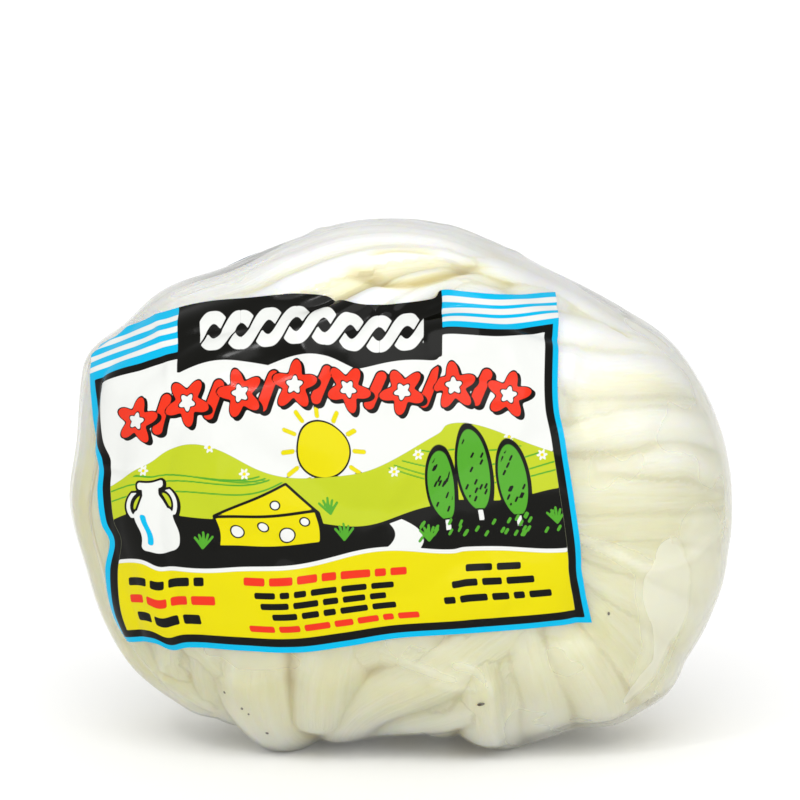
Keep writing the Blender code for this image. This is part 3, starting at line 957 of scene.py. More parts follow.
def disc(x, y, radius, squash=1.0):
    """Distance to a circle, or (nearly) to an oval squash times as high."""
    return np.hypot(u - x, (v - y) / squash) - radius


def blossom(x, y, radius, petals=5, depth=0.2, turn=0.0):
    """Distance (nearly) to a flower: a circle whose radius swells petals times."""
    angle = np.arctan2(v - y, u - x) + turn
    return np.hypot(u - x, v - y) - radius * (1 - depth + depth * np.cos(petals * angle))


def box(x0, y0, x1, y1, corner=0.0):
    """Distance to a rectangle with rounded corners."""
    dx = np.abs(u - (x0 + x1) / 2) - (x1 - x0) / 2 + corner
    dy = np.abs(v - (y0 + y1) / 2) - (y1 - y0) / 2 + corner
    outside = np.hypot(np.maximum(dx, 0), np.maximum(dy, 0))
    return outside + np.minimum(np.maximum(dx, dy), 0) - corner


def stroke(points, half):
    """Distance to a round-ended line through the points, half its width away."""
    gap = np.full(u.shape, np.inf)
    for (x0, y0), (x1, y1) in zip(points[:-1], points[1:]):
        dx, dy = x1 - x0, y1 - y0
        t = np.clip(((u - x0) * dx + (v - y0) * dy) / (dx * dx + dy * dy), 0, 1)
        gap = np.minimum(gap, np.hypot(u - x0 - t * dx, v - y0 - t * dy))
    return gap - half


def polygon(points):
    """Distance to a closed polygon: to its nearest side, and negative where a ray to
    the right crosses its sides an odd number of times."""
    closed = [*points, points[0]]
    inside = np.zeros(u.shape, bool)
    for (x0, y0), (x1, y1) in zip(closed[:-1], closed[1:]):
        if y0 != y1:
            crosses = (v > min(y0, y1)) & (v <= max(y0, y1))
            inside ^= crosses & (u < x0 + (v - y0) * (x1 - x0) / (y1 - y0))
    gap = stroke(closed, 0)
    return np.where(inside, -gap, gap)


def below(line):
    """Distance (nearly) to the region under a height given as an array over u."""
    slope = np.gradient(line[:, 0], u[:, 0])[:, None]
    return (v - line) / np.sqrt(1 + slope**2)


def both(*shapes):
    """Where all the shapes are: the largest distance."""
    return np.maximum.reduce(shapes)


def any_of(*shapes):
    """Where any of the shapes is: the smallest distance."""
    return np.minimum.reduce(shapes)


print("the panel is", PANEL_WIDE, "by", PANEL_HIGH, "mm, with a cell every",
      round(PANEL_WIDE / (PANEL_COLUMNS - 1), 2), "mm")  # fmt: skip

# %% Seven inks, and painting from the back of the picture forwards
# in the order in which they are printed
INK_COLOURS = {
    "sky": (0.0, 0.40, 0.66),
    "black": (0.003, 0.003, 0.002),
    "lime": (0.43, 0.50, 0.015),
    "green": (0.07, 0.31, 0.02),
    "yellow": (0.64, 0.56, 0.0),
    "red": (0.68, 0.030, 0.010),
    "white": (0.68, 0.69, 0.665),
}
INK_ORDER = list(INK_COLOURS)
NO_INK_MM = 50.0  # distance at a place that is far from any shape
INKS = {name: np.full(u.shape, NO_INK_MM) for name in INK_ORDER}
art_rng = np.random.default_rng(11)


def spare(ink, shape):
    """Cuts the shape out of one ink, so that what is below it shows."""
    INKS[ink] = np.maximum(INKS[ink], -shape)


def paint(ink, shape):
    """Adds the shape to its ink, and cuts it out of the inks printed after that."""
    INKS[ink] = np.minimum(INKS[ink], shape)
    for later in INK_ORDER[INK_ORDER.index(ink) + 1 :]:
        spare(later, shape)


def outlined(ink, shape, edge=0.4, drop=0):
    """A shape with a black edge, and a black shadow some cells to the lower right."""
    shadow = np.roll(shape, (drop, -drop), axis=(0, 1))
    paint("black", any_of(shape, shadow) - edge)
    paint(ink, shape)


def covered(*inks):
    """Share of the panel that each of the inks covers so far."""
    return {ink: round(float((INKS[ink] < 0).mean()), 2) for ink in inks}


print("inks in order:", *INK_ORDER)

# %% Border, frame and plaque
# start, length of a wave, swing and half the width of the ropes; how often they cross
ROPE_START, ROPE_WAVE, ROPE_SWING, ROPE_HALF, CROSSINGS = 24, 11, 2.5, 1.15, 9
ROPE_EDGE, CROSSING_HALF = 0.5, 2.6  # black edge of the rope on top, half a crossing's width


def frame_and_plaque():
    """Border, stripes and black frame. The plaque over them carries a white plait of
    two ropes, whose crossings go over and under in turn."""
    top = 56.8 + 2.6 * u / PANEL_WIDE
    paint("sky", box(-5, -5, PANEL_WIDE + 5, PANEL_HIGH + 5))
    for stripe in range(3):
        middle = top + (0.24 + 0.26 * stripe) * (PANEL_HIGH - top)
        paint("white", np.abs(v - middle) - 0.55)
    paint("black", both(box(1.1, 1.1, 94.9, PANEL_HIGH), below(top)))
    paint("white", both(box(2.7, 2.7, 93.3, PANEL_HIGH), below(top - 1.4)))
    scallops = 53.2 + 1.5 * np.abs(np.sin(math.pi * (u - 20) / 17.7))
    paint("black", both(box(19.5, 48, 73, 70, 2.0), -below(scallops)))
    swing = ROPE_SWING * np.sin(2 * math.pi * (u - ROPE_START) / ROPE_WAVE)
    ropes = [np.abs(below(60.2 + side * swing)) for side in (1, -1)]
    ends = box(ROPE_START, 50, 68.5, 70, 1.5)
    for rope in ropes:
        paint("white", both(rope - ROPE_HALF, ends))
    for crossing in range(CROSSINGS):
        middle = ROPE_START + ROPE_WAVE / 2 * crossing
        window = box(middle - CROSSING_HALF, 50, middle + CROSSING_HALF, 70)
        over = ropes[crossing % 2]
        paint("black", both(over - ROPE_HALF - ROPE_EDGE, window, ends))
        paint("white", both(over - ROPE_HALF, window, ends))


inner = box(2.7, 2.7, 93.3, 56.5)  # all that the frame leaves free
frame_and_plaque()
print("covered", covered("sky", "black", "white"))

# %% Sun, hills and stream
SUN_AT, SUN_RADIUS, SUN_RAYS, RAY_FROM_TO = (47, 37), 5.2, 12, (6.3, 8.2)


def landscape():
    """Sun, two ranges of hills with furrows, black ground, a stream and daisies."""
    for ray in range(SUN_RAYS):
        angle = ray * 2 * math.pi / SUN_RAYS
        way = np.array([math.cos(angle), math.sin(angle)])
        paint("yellow", both(stroke([way * reach + SUN_AT for reach in RAY_FROM_TO], 0.45), inner))
    outlined("yellow", disc(*SUN_AT, SUN_RADIUS), 0.35)
    far = 31 + 8.5 * np.exp(-(((u - 19) / 15) ** 2)) + 9.5 * np.exp(-(((u - 76) / 17) ** 2))
    near = 30 + 4.5 * np.exp(-(((u - 50) / 15) ** 2)) + 1.2 * np.sin(u / 7)
    paint("lime", both(below(far), inner))
    for furrow in range(4):
        line = near + 1.5 * furrow * (1 + 0.4 * np.sin(u / 17 + furrow))
        paint("green", both(np.abs(below(line)) - 0.16, below(far - 1), inner))
    ground = 25.0 + 1.7 * np.sin(u / 12 + 0.6) + 0.9 * np.sin(u / 4.7)
    paint("black", both(below(ground), inner))
    middle = 57 + 5 * np.sin((v - 15) / 3.2)
    water = (np.abs(u - middle) - 0.6 - 0.32 * (27 - v)) * 0.75
    paint("white", both(water, below(ground - 0.8), inner))
    for x, y in [(10, 36), (24, 38.5), (31, 33.5), (66, 36), (85, 38), (91, 34), (61, 33)]:
        paint("white", blossom(x, y, 1.15, 6, 0.25))
        paint("yellow", disc(x, y, 0.35))
        spare("white", disc(x, y, 0.35))


landscape()
print("covered", covered("lime", "green", "yellow"))

# %% A garland of flowers
def garland():
    """Red flowers and leaves on an arch, each with a black edge and shadow."""
    for step in range(8):
        x = 10.5 + 10.8 * step
        y = 45.3 + 3.9 * math.sin(math.pi * (x - 5) / 88)
        turn = 0.35 * step
        leaf = stroke([(x + 4.2, y - 2.6), (x + 6.6, y + 2.6)], 1.05)
        if step < 7:
            outlined("red", leaf, 0.3, 2)
        outlined("red", blossom(x, y, 4.6, 5, 0.24, turn), 0.3, 2)
        outlined("white", blossom(x, y, 1.7, 5, 0.2, turn), 0.25)


garland()
print("covered", covered("red"))

# %% Churn, wedge, trees and tufts
def motifs():
    """A milk churn, a wedge of cheese, three cypresses, tufts and leaves."""
    churn = any_of(
        box(7.4, 19.5, 15.6, 28, 1.2), polygon([(7.9, 27.2), (15.1, 27.2), (13.2, 31), (9.8, 31)]),
        box(9.8, 30, 13.2, 32.4), box(8.8, 32.2, 14.2, 33.6, 0.5),
    )  # fmt: skip
    handles = both(np.abs(disc(11.5, 28.6, 5.0, 0.8)) - 0.4, box(5, 26.5, 18, 31.5))
    outlined("white", any_of(churn, handles), 0.45, 1)
    paint("sky", box(8.6, 20.8, 9.9, 27.2, 0.5))
    wedge = polygon([(24, 20), (24, 25.5), (39, 31), (44, 25.8), (44, 20)])
    outlined("yellow", wedge, 0.5, 2)
    edge = stroke([(24, 25.5), (44, 25.8)], 0.28)
    paint("black", edge)
    spare("yellow", edge)
    holes = [(27.5, 22.6, 1.2), (33, 23.6, 0.9), (37.5, 21.9, 1.4), (41.5, 24, 0.8), (36.5, 27.6, 0.8)]
    for x, y, radius in holes:
        outlined("white", disc(x, y, radius, 0.85), 0.3)
    for x, y, radius in [(70, 29.5, 2.7), (77, 31.5, 3.1), (84.5, 29.5, 2.8)]:
        tree = disc(x, y, radius, 2.5)
        outlined("green", tree, 0.5, 1)
        outlined("white", box(x - 0.5, y - 2.5 * radius - 2.0, x + 0.5, y - 2.5 * radius), 0.3)
        for leaf in range(14):
            lx, ly = x + art_rng.uniform(-0.7, 0.7) * radius, y + art_rng.uniform(-2, 2) * radius
            spot = both(stroke([(lx, ly), (lx + 0.5, ly + 0.8)], 0.2), tree + 0.4)
            paint("black", spot)
            spare("green", spot)
    for x, y in [(20.5, 19.5), (49, 20), (66, 19), (92, 20.5), (47, 25)]:
        for lean in (-1.8, -0.9, 0, 0.9, 1.8):
            blade = stroke([(x, y), (x + lean, y + 3.0 - 0.5 * abs(lean))], 0.24)
            paint("green", both(blade, inner))
    for _ in range(34):
        x, y = art_rng.uniform(63, 92), art_rng.uniform(18.5, 22.5)
        paint("green", both(stroke([(x, y), (x + 0.5, y + 0.7)], 0.28), inner))


motifs()
print("covered", covered("green", "black"))

# %% A field with rows of bars
BAR_FROM_TO, BAR_GAP, BAR_CORNER = (1.8, 6.0), 0.9, 0.35


def bar_row(x0, x1, y, high, ink):
    """A row of plain bars of uneven length with gaps between them."""
    x = x0
    while x < x1 - 1.5:
        length = min(art_rng.uniform(*BAR_FROM_TO), x1 - x)
        bar = box(x, y, x + length, y + high, BAR_CORNER)
        paint(ink, bar)
        spare("yellow", bar)
        x += length + BAR_GAP


def lower_panel():
    """A yellow field with a wavy top and rows of bars."""
    field = 16.0 + 1.1 * np.sin(u / 10 + 2.0) + 0.4 * np.sin(u / 4)
    paint("white", both(below(field + 0.8), inner))
    paint("yellow", both(below(field), inner))
    spare("white", both(below(field), inner))
    rows = [
        (5, 21, 12.2, 1.7, "black"), (5, 23, 8.6, 1.7, "red"), (6, 20, 4.8, 1.9, "black"),
        (29, 62, 12.6, 1.5, "red"), (31, 60, 10.2, 1.2, "black"), (32, 58, 8.2, 1.2, "black"),
        (34, 59, 6.2, 1.2, "black"), (29, 64, 3.9, 1.2, "red"),
        (73, 84, 12.0, 1.4, "black"), (70, 87, 9.2, 1.4, "black"), (68, 90, 6.2, 1.4, "black"),
    ]  # fmt: skip
    for row in rows:
        bar_row(*row)


lower_panel()
print("share of each ink", covered(*INK_ORDER))

# %% [markdown]
# ## Laying the panel on the film
#
# The four edges of the panel are drawn as they are seen from the front, with the waves
# that shrinking gave them. A Coons patch fills them in: each inner point is the blend
# of the points across from it on all four edges. Then each point is moved back along
# the line of sight until it lies on the film.

# %% Edges, patch and projection
EDGE_TOP = [(-62.0, 84.2), (-42.0, 90.6), (-29.6, 91.8), (-20.5, 92.8), (-14.5, 92.4), (-6.4, 90.3),
            (5.8, 91.4), (8.8, 93.4), (19.9, 92.4), (30.8, 93.4)]  # fmt: skip
EDGE_RIGHT = [(37.5, 27.1), (35.5, 36.8), (35, 42.8), (32, 63.1), (30.6, 72.1), (31, 89.3), (30.8, 93.4)]
EDGE_BOTTOM = [(-55.9, 22.2), (-48.8, 22.6), (-44.8, 21.2), (-40.7, 22), (-30.6, 21.6), (-20.5, 21.2),
               (-10.4, 22.6), (-0.3, 24.3), (11.8, 25.1), (19.9, 25.7), (37.5, 27.1)]  # fmt: skip
EDGE_LEFT = [(-55.9, 22.2), (-57.9, 28.7), (-58.3, 36.8), (-57.3, 42.8), (-58.9, 46.9), (-59.5, 53),
             (-59.2, 58.5), (-60.9, 63.1), (-61.7, 72.1), (-62.0, 84.2)]  # fmt: skip


def coons_patch(bottom, top, left, right, columns, rows):
    """Each point is the blend across plus the blend up less the blend of the four
    corners, so that all four edges are met exactly."""
    s = np.linspace(0, 1, columns)[:, None, None]
    t = np.linspace(0, 1, rows)[None, :, None]
    low, high = even_line(bottom, columns)[:, None], even_line(top, columns)[:, None]
    near, far = even_line(left, rows)[None], even_line(right, rows)[None]
    corners = (1 - s) * (1 - t) * low[0] + s * (1 - t) * low[-1]
    corners = corners + (1 - s) * t * high[0] + s * t * high[-1]
    return (1 - t) * low + t * high + (1 - s) * near + s * far - corners


def panel_piece(name, seen, side, elevation_deg, lift):
    """The panel as a sheet: seen from its side, laid on the film, and lifted."""
    flat = seen.reshape(-1, 2)
    right, up = sight(side, elevation_deg)
    on = look_back(flat, side, elevation_deg, on_ball, 12)
    for _ in range(2):
        found = film_at(on)
        on = on + right * (flat[:, :1] - found @ right[:, None]) + up * (flat[:, 1:] - found @ up[:, None])
    found = film_at(on)
    points = place(found + unit(found) * lift)
    columns, rows = seen.shape[:2]
    grid = np.arange(columns * rows).reshape(columns, rows)
    faces = np.stack([grid[:-1, :-1], grid[1:, :-1], grid[1:, 1:], grid[:-1, 1:]], -1).reshape(-1, 4)
    obj = make_mesh(name, points, faces)
    for ink, distance in INKS.items():
        add_values(obj, "ink_" + ink, distance.ravel())
    print(name, len(faces) * 2, "triangles")
    return obj


PRINT_LIFT = 0.00022  # the thickness of the ink, made a little more so that it always shows
front_patch = coons_patch(EDGE_BOTTOM, EDGE_TOP, EDGE_LEFT, EDGE_RIGHT, PANEL_COLUMNS, PANEL_ROWS)
front_print = panel_piece(
    "print_front", seen_from_front(front_patch), -1, VIEW_ELEVATION_DEG, PRINT_LIFT
)

# %% The back panel, drawn as seen from behind and above: its upper edge shows over the top
BACK_ELEVATION_DEG = 25
BACK_TOP = [(-45, 24), (-30, 28), (-12, 33), (4, 37), (14, 39.8), (22, 42.0), (28, 42.9),
            (34, 40.6), (43, 33)]  # fmt: skip
BACK_RIGHT = [(46, -31), (47, -14), (45.5, 2), (46, 18), (43, 33)]
BACK_BOTTOM = [(-44, -35), (-28, -36.5), (-10, -34), (8, -34), (26, -33), (46, -31)]
BACK_LEFT = [(-44, -35), (-46.5, -20), (-45, -4), (-46, 12), (-45, 24)]
back_seen = coons_patch(BACK_BOTTOM, BACK_TOP, BACK_LEFT, BACK_RIGHT, PANEL_COLUMNS, PANEL_ROWS)
back_print = panel_piece("print_back", back_seen * MM, 1, BACK_ELEVATION_DEG, PRINT_LIFT)

# %% [markdown]
# ## Seeds
#
# A few black seeds are kneaded into the curd. Each is a small ball drawn out to a
# grain and half sunk in a strand.

# %% Seeds on the curd
# x and z as seen from the front, long and short half axes, all in millimetres
SEEDS_MM = [
    (16.2, 10.5, 0.85, 0.42), (-31.1, 9.3, 0.38, 0.26), (-26.5, 4.2, 0.40, 0.30), (-34.6, 12.5, 0.34, 0.24),
    (-30.1, 8.1, 0.32, 0.22), (41.2, 28.7, 0.45, 0.30),
]  # fmt: skip
SEED_THICKNESS = 0.8  # as a share of the short half axis
HIDDEN_SEEDS = 16
HIDDEN_LONG_MM, HIDDEN_SHORT_MM = (0.5, 1.0), 0.42
BEHIND = 0.005  # hidden seeds lie at least this far behind the middle


def seed_shape(rings=7, columns=10):
    """A unit ball: rings of corners from pole to pole, closed by fans."""
    polar = np.linspace(0, math.pi, rings + 2)[1:-1, None]
    turn = np.linspace(0, 2 * math.pi, columns, endpoint=False)
    body = np.stack(
        [np.sin(polar) * np.cos(turn), np.sin(polar) * np.sin(turn), np.cos(polar) + 0 * turn], -1
    ).reshape(-1, 3)
    grid = np.arange(rings * columns).reshape(rings, columns)
    after = np.roll(grid, -1, axis=1)
    pole = np.full(columns, rings * columns)
    faces = [
        np.stack([grid[:-1], grid[1:], after[1:], after[:-1]], -1).reshape(-1, 4),
        np.stack([grid[0], after[0], pole, pole], 1),
        np.stack([after[-1], grid[-1], pole + 1, pole + 1], 1),
    ]
    return np.vstack([body, [0, 0, 1], [0, 0, -1]]), np.concatenate(faces)


def seeds():
    """Seeds at their places: the corner of the cheese nearest to each seen place, and
    corners at random on the back half."""
    on_cheese = raised(ball, ceiling - sunk)
    height = on_cheese @ sight(-1, VIEW_ELEVATION_DEG)[1]
    shape, faces = seed_shape()
    points, all_faces = [], []
    seen = seen_from_front(np.array([row[:2] for row in SEEDS_MM]))
    spots = []
    for (x, z), row in zip(seen, SEEDS_MM):
        miss = np.hypot(on_cheese[:, 0] - x, height - z)
        miss[ball[:, 1] > 0] += 1  # a metre more, so that no corner of the back is nearest
        spots.append((miss.argmin(), *row[2:]))
    behind = np.flatnonzero(ball[:, 1] > BEHIND)
    for _ in range(HIDDEN_SEEDS):
        spots.append((rng.choice(behind), rng.uniform(*HIDDEN_LONG_MM), HIDDEN_SHORT_MM))
    for number, (corner, long_half, short_half) in enumerate(spots):
        out = unit(on_cheese[corner])
        lies = unit(np.cross(out, rng.normal(size=3)))
        axes = np.stack([np.cross(out, lies), out, lies])
        body = shape * (np.array([short_half, short_half * SEED_THICKNESS, long_half]) * MM)
        points.append(body @ axes + on_cheese[corner])
        all_faces.append(faces + number * len(shape))
    return make_mesh("seeds", place(np.concatenate(points), CLEARANCE), np.concatenate(all_faces))


seed_piece = seeds()
print("seeds", len(SEEDS_MM) + HIDDEN_SEEDS)

# %% [markdown]
# ## Materials
#
# A finish is a tree of nodes. Two effects come up more than once: the crinkle that
# breaks up the gloss of film and print alike, and one ink over another. Each is a node
# group with named sockets, built once and placed wherever it is needed, so that a
# change to it reaches every place. The fibres of the curd are a group too, because
# that keeps a rule of several nodes together under one name.

# %% Helpers that add and join nodes
def add_node(tree, kind, place_at=(0, 0), **settings):
    """A node of a kind at a place in the tree, with its properties set by their names."""
    node = tree.nodes.new(kind)
    node.location = place_at
    for key, value in settings.items():
        setattr(node, key, value)
    return node


def link(tree, source, target):
    """A wire from an output to an input."""
    tree.links.new(source, target)


def new_group(name, inputs, outputs):
    """An empty shader group. inputs and outputs are (name, kind, default) rows."""
    group = bpy.data.node_groups.new(name, "ShaderNodeTree")
    for title, kind, default in inputs:
        socket = group.interface.new_socket(title, in_out="INPUT", socket_type=kind)
        socket.default_value = default
    for title, kind in outputs:
        group.interface.new_socket(title, in_out="OUTPUT", socket_type=kind)
    return group, add_node(group, "NodeGroupInput", (-900, 0)), add_node(group, "NodeGroupOutput", (900, 0))


def maths(tree, operation, first, second=None, third=None):
    """A Math node; each operand is a socket or a number."""
    node = add_node(tree, "ShaderNodeMath", operation=operation)
    for number, operand in enumerate((first, second, third)):
        if isinstance(operand, (int, float)):
            node.inputs[number].default_value = operand
        elif operand is not None:
            link(tree, operand, node.inputs[number])
    return node.outputs[0]


def noise(tree, vector, scale, detail):
    """Soft random values from 0 to 1 over a space: scale blots to a unit of it, with
    detail finer layers on top, each half as strong as the last."""
    node = add_node(tree, "ShaderNodeTexNoise")
    node.inputs["Scale"].default_value = scale
    node.inputs["Detail"].default_value = detail
    node.inputs["Roughness"].default_value = 0.5
    link(tree, vector, node.inputs["Vector"])
    return node.outputs["Fac"]


def mix_colour(tree, factor, first, second):
    """A colour between two; each is a socket or a colour."""
    node = add_node(tree, "ShaderNodeMix", data_type="RGBA")
    link(tree, factor, node.inputs["Factor"])
    for name, value in (("A", first), ("B", second)):
        socket = next(s for s in node.inputs if s.name == name and s.type == "RGBA")
        if isinstance(value, tuple):
            socket.default_value = (*value, 1)
        else:
            link(tree, value, socket)
    return next(s for s in node.outputs if s.type == "RGBA")


def map_range(tree, value, low, high, to_low=0.0, to_high=1.0):
    """A value that goes evenly from to_low to to_high as another goes from low to high."""
    node = add_node(tree, "ShaderNodeMapRange")
    link(tree, value, node.inputs["Value"])
    for name, number in (("From Min", low), ("From Max", high), ("To Min", to_low), ("To Max", to_high)):
        node.inputs[name].default_value = number
    return node.outputs["Result"]


def attribute(tree, name):
    """The value that a mesh has under this name at each corner."""
    node = add_node(tree, "ShaderNodeAttribute", attribute_name=name)
    return node.outputs["Fac"]


def bump(tree, height, strength, distance):
    """A normal that leans as if the surface rose by distance times height."""
    node = add_node(tree, "ShaderNodeBump")
    node.inputs["Strength"].default_value = strength
    node.inputs["Distance"].default_value = distance
    link(tree, height, node.inputs["Height"])
    return node.outputs["Normal"]


def use_group(tree, group, **values):
    """A group node; each value is a socket or a constant for the input of that name."""
    node = add_node(tree, "ShaderNodeGroup")
    node.node_tree = group
    for name, value in values.items():
        if isinstance(value, (int, float, tuple)):
            node.inputs[name].default_value = value
        else:
            link(tree, value, node.inputs[name])
    return node


def new_material(name):
    """A material with its Principled BSDF, which every finish here starts from."""
    material = bpy.data.materials.new(name)
    material.use_nodes = True
    return material, material.node_tree, material.node_tree.nodes["Principled BSDF"]


print("nodes as in Blender", bpy.app.version_string)

# %% Three shared effects: fibres, crinkle, and one ink over another
# each input's axis in the space of the noise, and how far one unit of it reaches there
FIBRE_SPACE = {"Along": ("X", 45.0), "Across": ("Y", 900.0), "Strand": ("Z", 50.0)}
BROAD_CRINKLE, FINE_CRINKLE, FINE_SHARE = 55.0, 220.0, 0.12  # blots to a metre, and share
INK_EDGE_MM = 0.05  # half the soft width of an ink's edge


def fibre_group():
    """Fine strings: noise in a space where a strand's length is squeezed, so that
    each blot of it is drawn out along the strand."""
    group, start, end = new_group(
        "fibres",
        [(name, "NodeSocketFloat", 0.0) for name in FIBRE_SPACE] + [("Fineness", "NodeSocketFloat", 1.0)],
        [("Height", "NodeSocketFloat"), ("Tone", "NodeSocketFloat")],
    )
    space = add_node(group, "ShaderNodeCombineXYZ")
    for name, (axis, stretch) in FIBRE_SPACE.items():
        link(group, maths(group, "MULTIPLY", start.outputs[name], stretch), space.inputs[axis])
    fine = noise(group, space.outputs[0], 1.6, 3.0)
    broad = noise(group, space.outputs[0], 0.35, 2.0)
    height = maths(group, "MULTIPLY_ADD", fine, 0.6, broad)
    link(group, maths(group, "MULTIPLY", height, start.outputs["Fineness"]), end.inputs["Height"])
    tone = maths(group, "MULTIPLY_ADD", fine, 0.4, maths(group, "MULTIPLY", broad, 0.6))
    link(group, tone, end.inputs["Tone"])
    return group


def crinkle_group():
    """Film that has shrunk: broad soft dents and a finer grain of tiny pulls."""
    group, start, end = new_group(
        "crinkle",
        [("Vector", "NodeSocketVector", (0, 0, 0)), ("Grain", "NodeSocketFloat", 1.0)],
        [("Height", "NodeSocketFloat"), ("Haze", "NodeSocketFloat")],
    )
    broad = noise(group, start.outputs["Vector"], BROAD_CRINKLE, 2.0)
    fine = noise(group, start.outputs["Vector"], FINE_CRINKLE, 2.0)
    grain = maths(group, "MULTIPLY", fine, start.outputs["Grain"])
    link(group, maths(group, "MULTIPLY_ADD", grain, FINE_SHARE, broad), end.inputs["Height"])
    link(group, broad, end.inputs["Haze"])
    return group


def ink_group():
    """One ink over what is below it: full where its distance is under 0, with an edge
    a tenth of a millimetre soft."""
    group, start, end = new_group(
        "ink",
        [("Below", "NodeSocketColor", (1, 1, 1, 1)), ("Ink", "NodeSocketColor", (0, 0, 0, 1)),
         ("Distance", "NodeSocketFloat", 1.0)],
        [("Color", "NodeSocketColor")],
    )  # fmt: skip
    cover = map_range(group, start.outputs["Distance"], INK_EDGE_MM, -INK_EDGE_MM)
    colour = mix_colour(group, cover, start.outputs["Below"], start.outputs["Ink"])
    link(group, colour, end.inputs["Color"])
    return group


FIBRES, CRINKLE, INK = fibre_group(), crinkle_group(), ink_group()
print("groups", FIBRES.name, CRINKLE.name, INK.name)

# %% [markdown]
# ### Cheese
#
# The colour is painted: lighter and whiter high up as painted light from above, whitest
# on the crowns of the upper strands as a painted sheen, white at the feet as painted
# light against their shade, and yellow in creases as painted shade. One colour would
# make it look like plaster. Light also goes a few millimetres into it, so the finish uses
# subsurface scattering, whose warm radius fills the creases with yellow light.

# %% The finish of the cheese
# painted light from above: the cream goes from a shaded low colour to a lit high colour
CREAM_HIGH_LIT, CREAM_LOW_SHADED = (0.92, 0.915, 0.83), (0.78, 0.76, 0.475)
# the colour of the crowns is a painted sheen
CREAM_STREAK, CREAM_TOP_SHEEN = (0.965, 0.965, 0.95), (0.97, 0.97, 0.945)
# painted crease shade: yellow on the sides of creases, darker yellow deep in them
CREAM_SIDE_SHADE, CREAM_DEEP_SHADE = (0.88, 0.855, 0.60), (0.60, 0.50, 0.16)
# heights between which a change goes from nothing to all
FOOT_LIGHT_TOP, FOOT_LIGHT_END = 0.016, 0.004
TOP_LIGHT_FROM_TO, STREAKS_FROM_TO, SHEEN_FROM_TO = (0.055, 0.085), (0.050, 0.085), (0.042, 0.072)
# values of crease, in millimetres, between which a colour comes in
SHEEN_CREASE, SIDE_CREASE, DEEP_CREASE = (0.5, -0.3), (0.4, 2.0), (1.5, 3.4)


def cheese_material():
    """Creamy and slightly see-through, with fibres along each strand. Painted light makes
    it lighter high up and at the feet, a painted sheen whitens the crowns of the upper
    strands, and painted shade turns it yellow in the creases."""
    material, tree, shader = new_material("cheese")
    fibres = use_group(
        tree, FIBRES, Along=attribute(tree, "along"), Across=attribute(tree, "across"),
        Strand=attribute(tree, "which"), Fineness=1.0,
    )  # fmt: skip
    tone = map_range(tree, fibres.outputs["Tone"], 0.42, 0.60)
    place_on = add_node(tree, "ShaderNodeTexCoord")
    split = add_node(tree, "ShaderNodeSeparateXYZ")
    link(tree, place_on.outputs["Object"], split.inputs[0])
    up, depth = split.outputs["Z"], attribute(tree, "crease")
    # painted light at the feet, against the shade where they meet the floor
    foot = map_range(tree, up, FOOT_LIGHT_TOP, FOOT_LIGHT_END, 0.0, 0.8)
    # painted light from above: lighter and whiter the higher the curd lies
    height = maths(tree, "MAXIMUM", map_range(tree, up, *TOP_LIGHT_FROM_TO), foot)
    body = mix_colour(tree, height, CREAM_LOW_SHADED, CREAM_HIGH_LIT)
    # white fibre streaks, stronger higher up, where they add to the painted light from above
    streaks = maths(tree, "MULTIPLY", tone, map_range(tree, up, *STREAKS_FROM_TO, 0.25, 0.85))
    streaked = mix_colour(tree, streaks, body, CREAM_STREAK)
    # a painted sheen on the crowns of the upper strands, where the film would mirror light from above
    upper = map_range(tree, up, *SHEEN_FROM_TO, 0.15, 0.95)
    crown = maths(tree, "MULTIPLY", map_range(tree, depth, *SHEEN_CREASE), upper)
    sheened = mix_colour(tree, crown, streaked, CREAM_TOP_SHEEN)
    # painted shade in creases: yellow on their sides, darker yellow deep in them
    side_shaded = mix_colour(tree, map_range(tree, depth, *SIDE_CREASE), sheened, CREAM_SIDE_SHADE)
    crease_shaded = mix_colour(tree, map_range(tree, depth, *DEEP_CREASE), side_shaded, CREAM_DEEP_SHADE)
    link(tree, crease_shaded, shader.inputs["Base Color"])
    shader.inputs["Roughness"].default_value = 0.42
    shader.inputs["Subsurface Weight"].default_value = 0.85
    shader.inputs["Subsurface Radius"].default_value = (1.0, 0.8, 0.35)
    shader.inputs["Subsurface Scale"].default_value = 0.008
    link(tree, bump(tree, fibres.outputs["Height"], 0.6, 0.0006), shader.inputs["Normal"])
    return material


CHEESE = cheese_material()
print("cheese has", len(CHEESE.node_tree.nodes), "nodes")

# %% [markdown]
# ### Print
#
# The inks are printed one after another, and each hides what is below it. A stack of
# the same group does just that, starting from white, and the gloss over it has the
# film's crinkle with less grain, because ink stiffens the film.

# %% The finish of the print
def print_material():
    """Each ink in turn over white, under the film's gloss."""
    material, tree, shader = new_material("print")
    below_ink = (*INK_COLOURS["white"], 1)
    for name, colour in INK_COLOURS.items():
        distance = attribute(tree, "ink_" + name)
        layer = use_group(tree, INK, Below=below_ink, Ink=(*colour, 1), Distance=distance)
        below_ink = layer.outputs["Color"]
    link(tree, below_ink, shader.inputs["Base Color"])
    place_on = add_node(tree, "ShaderNodeTexCoord")
    crinkle = use_group(tree, CRINKLE, Vector=place_on.outputs["Object"], Grain=0.5)
    link(tree, bump(tree, crinkle.outputs["Height"], 0.6, 0.0010), shader.inputs["Normal"])
    shader.inputs["Roughness"].default_value = 0.14
    shader.inputs["Specular IOR Level"].default_value = 0.12
    return material


PRINT = print_material()
print("print has", len(PRINT.node_tree.nodes), "nodes")

# %% [markdown]
# ### Film
#
# The film is far thinner than a glass pane, so it doesn't bend what is behind it. A
# glass shader would, and would darken the cheese. A mix is truer: see-through, with a
# mirror over it that the Fresnel term makes strong only at a slant, and over both a
# milky scatter wherever the film stands off the cheese. On the flap the same white
# scatter is a painted reflection of a light.

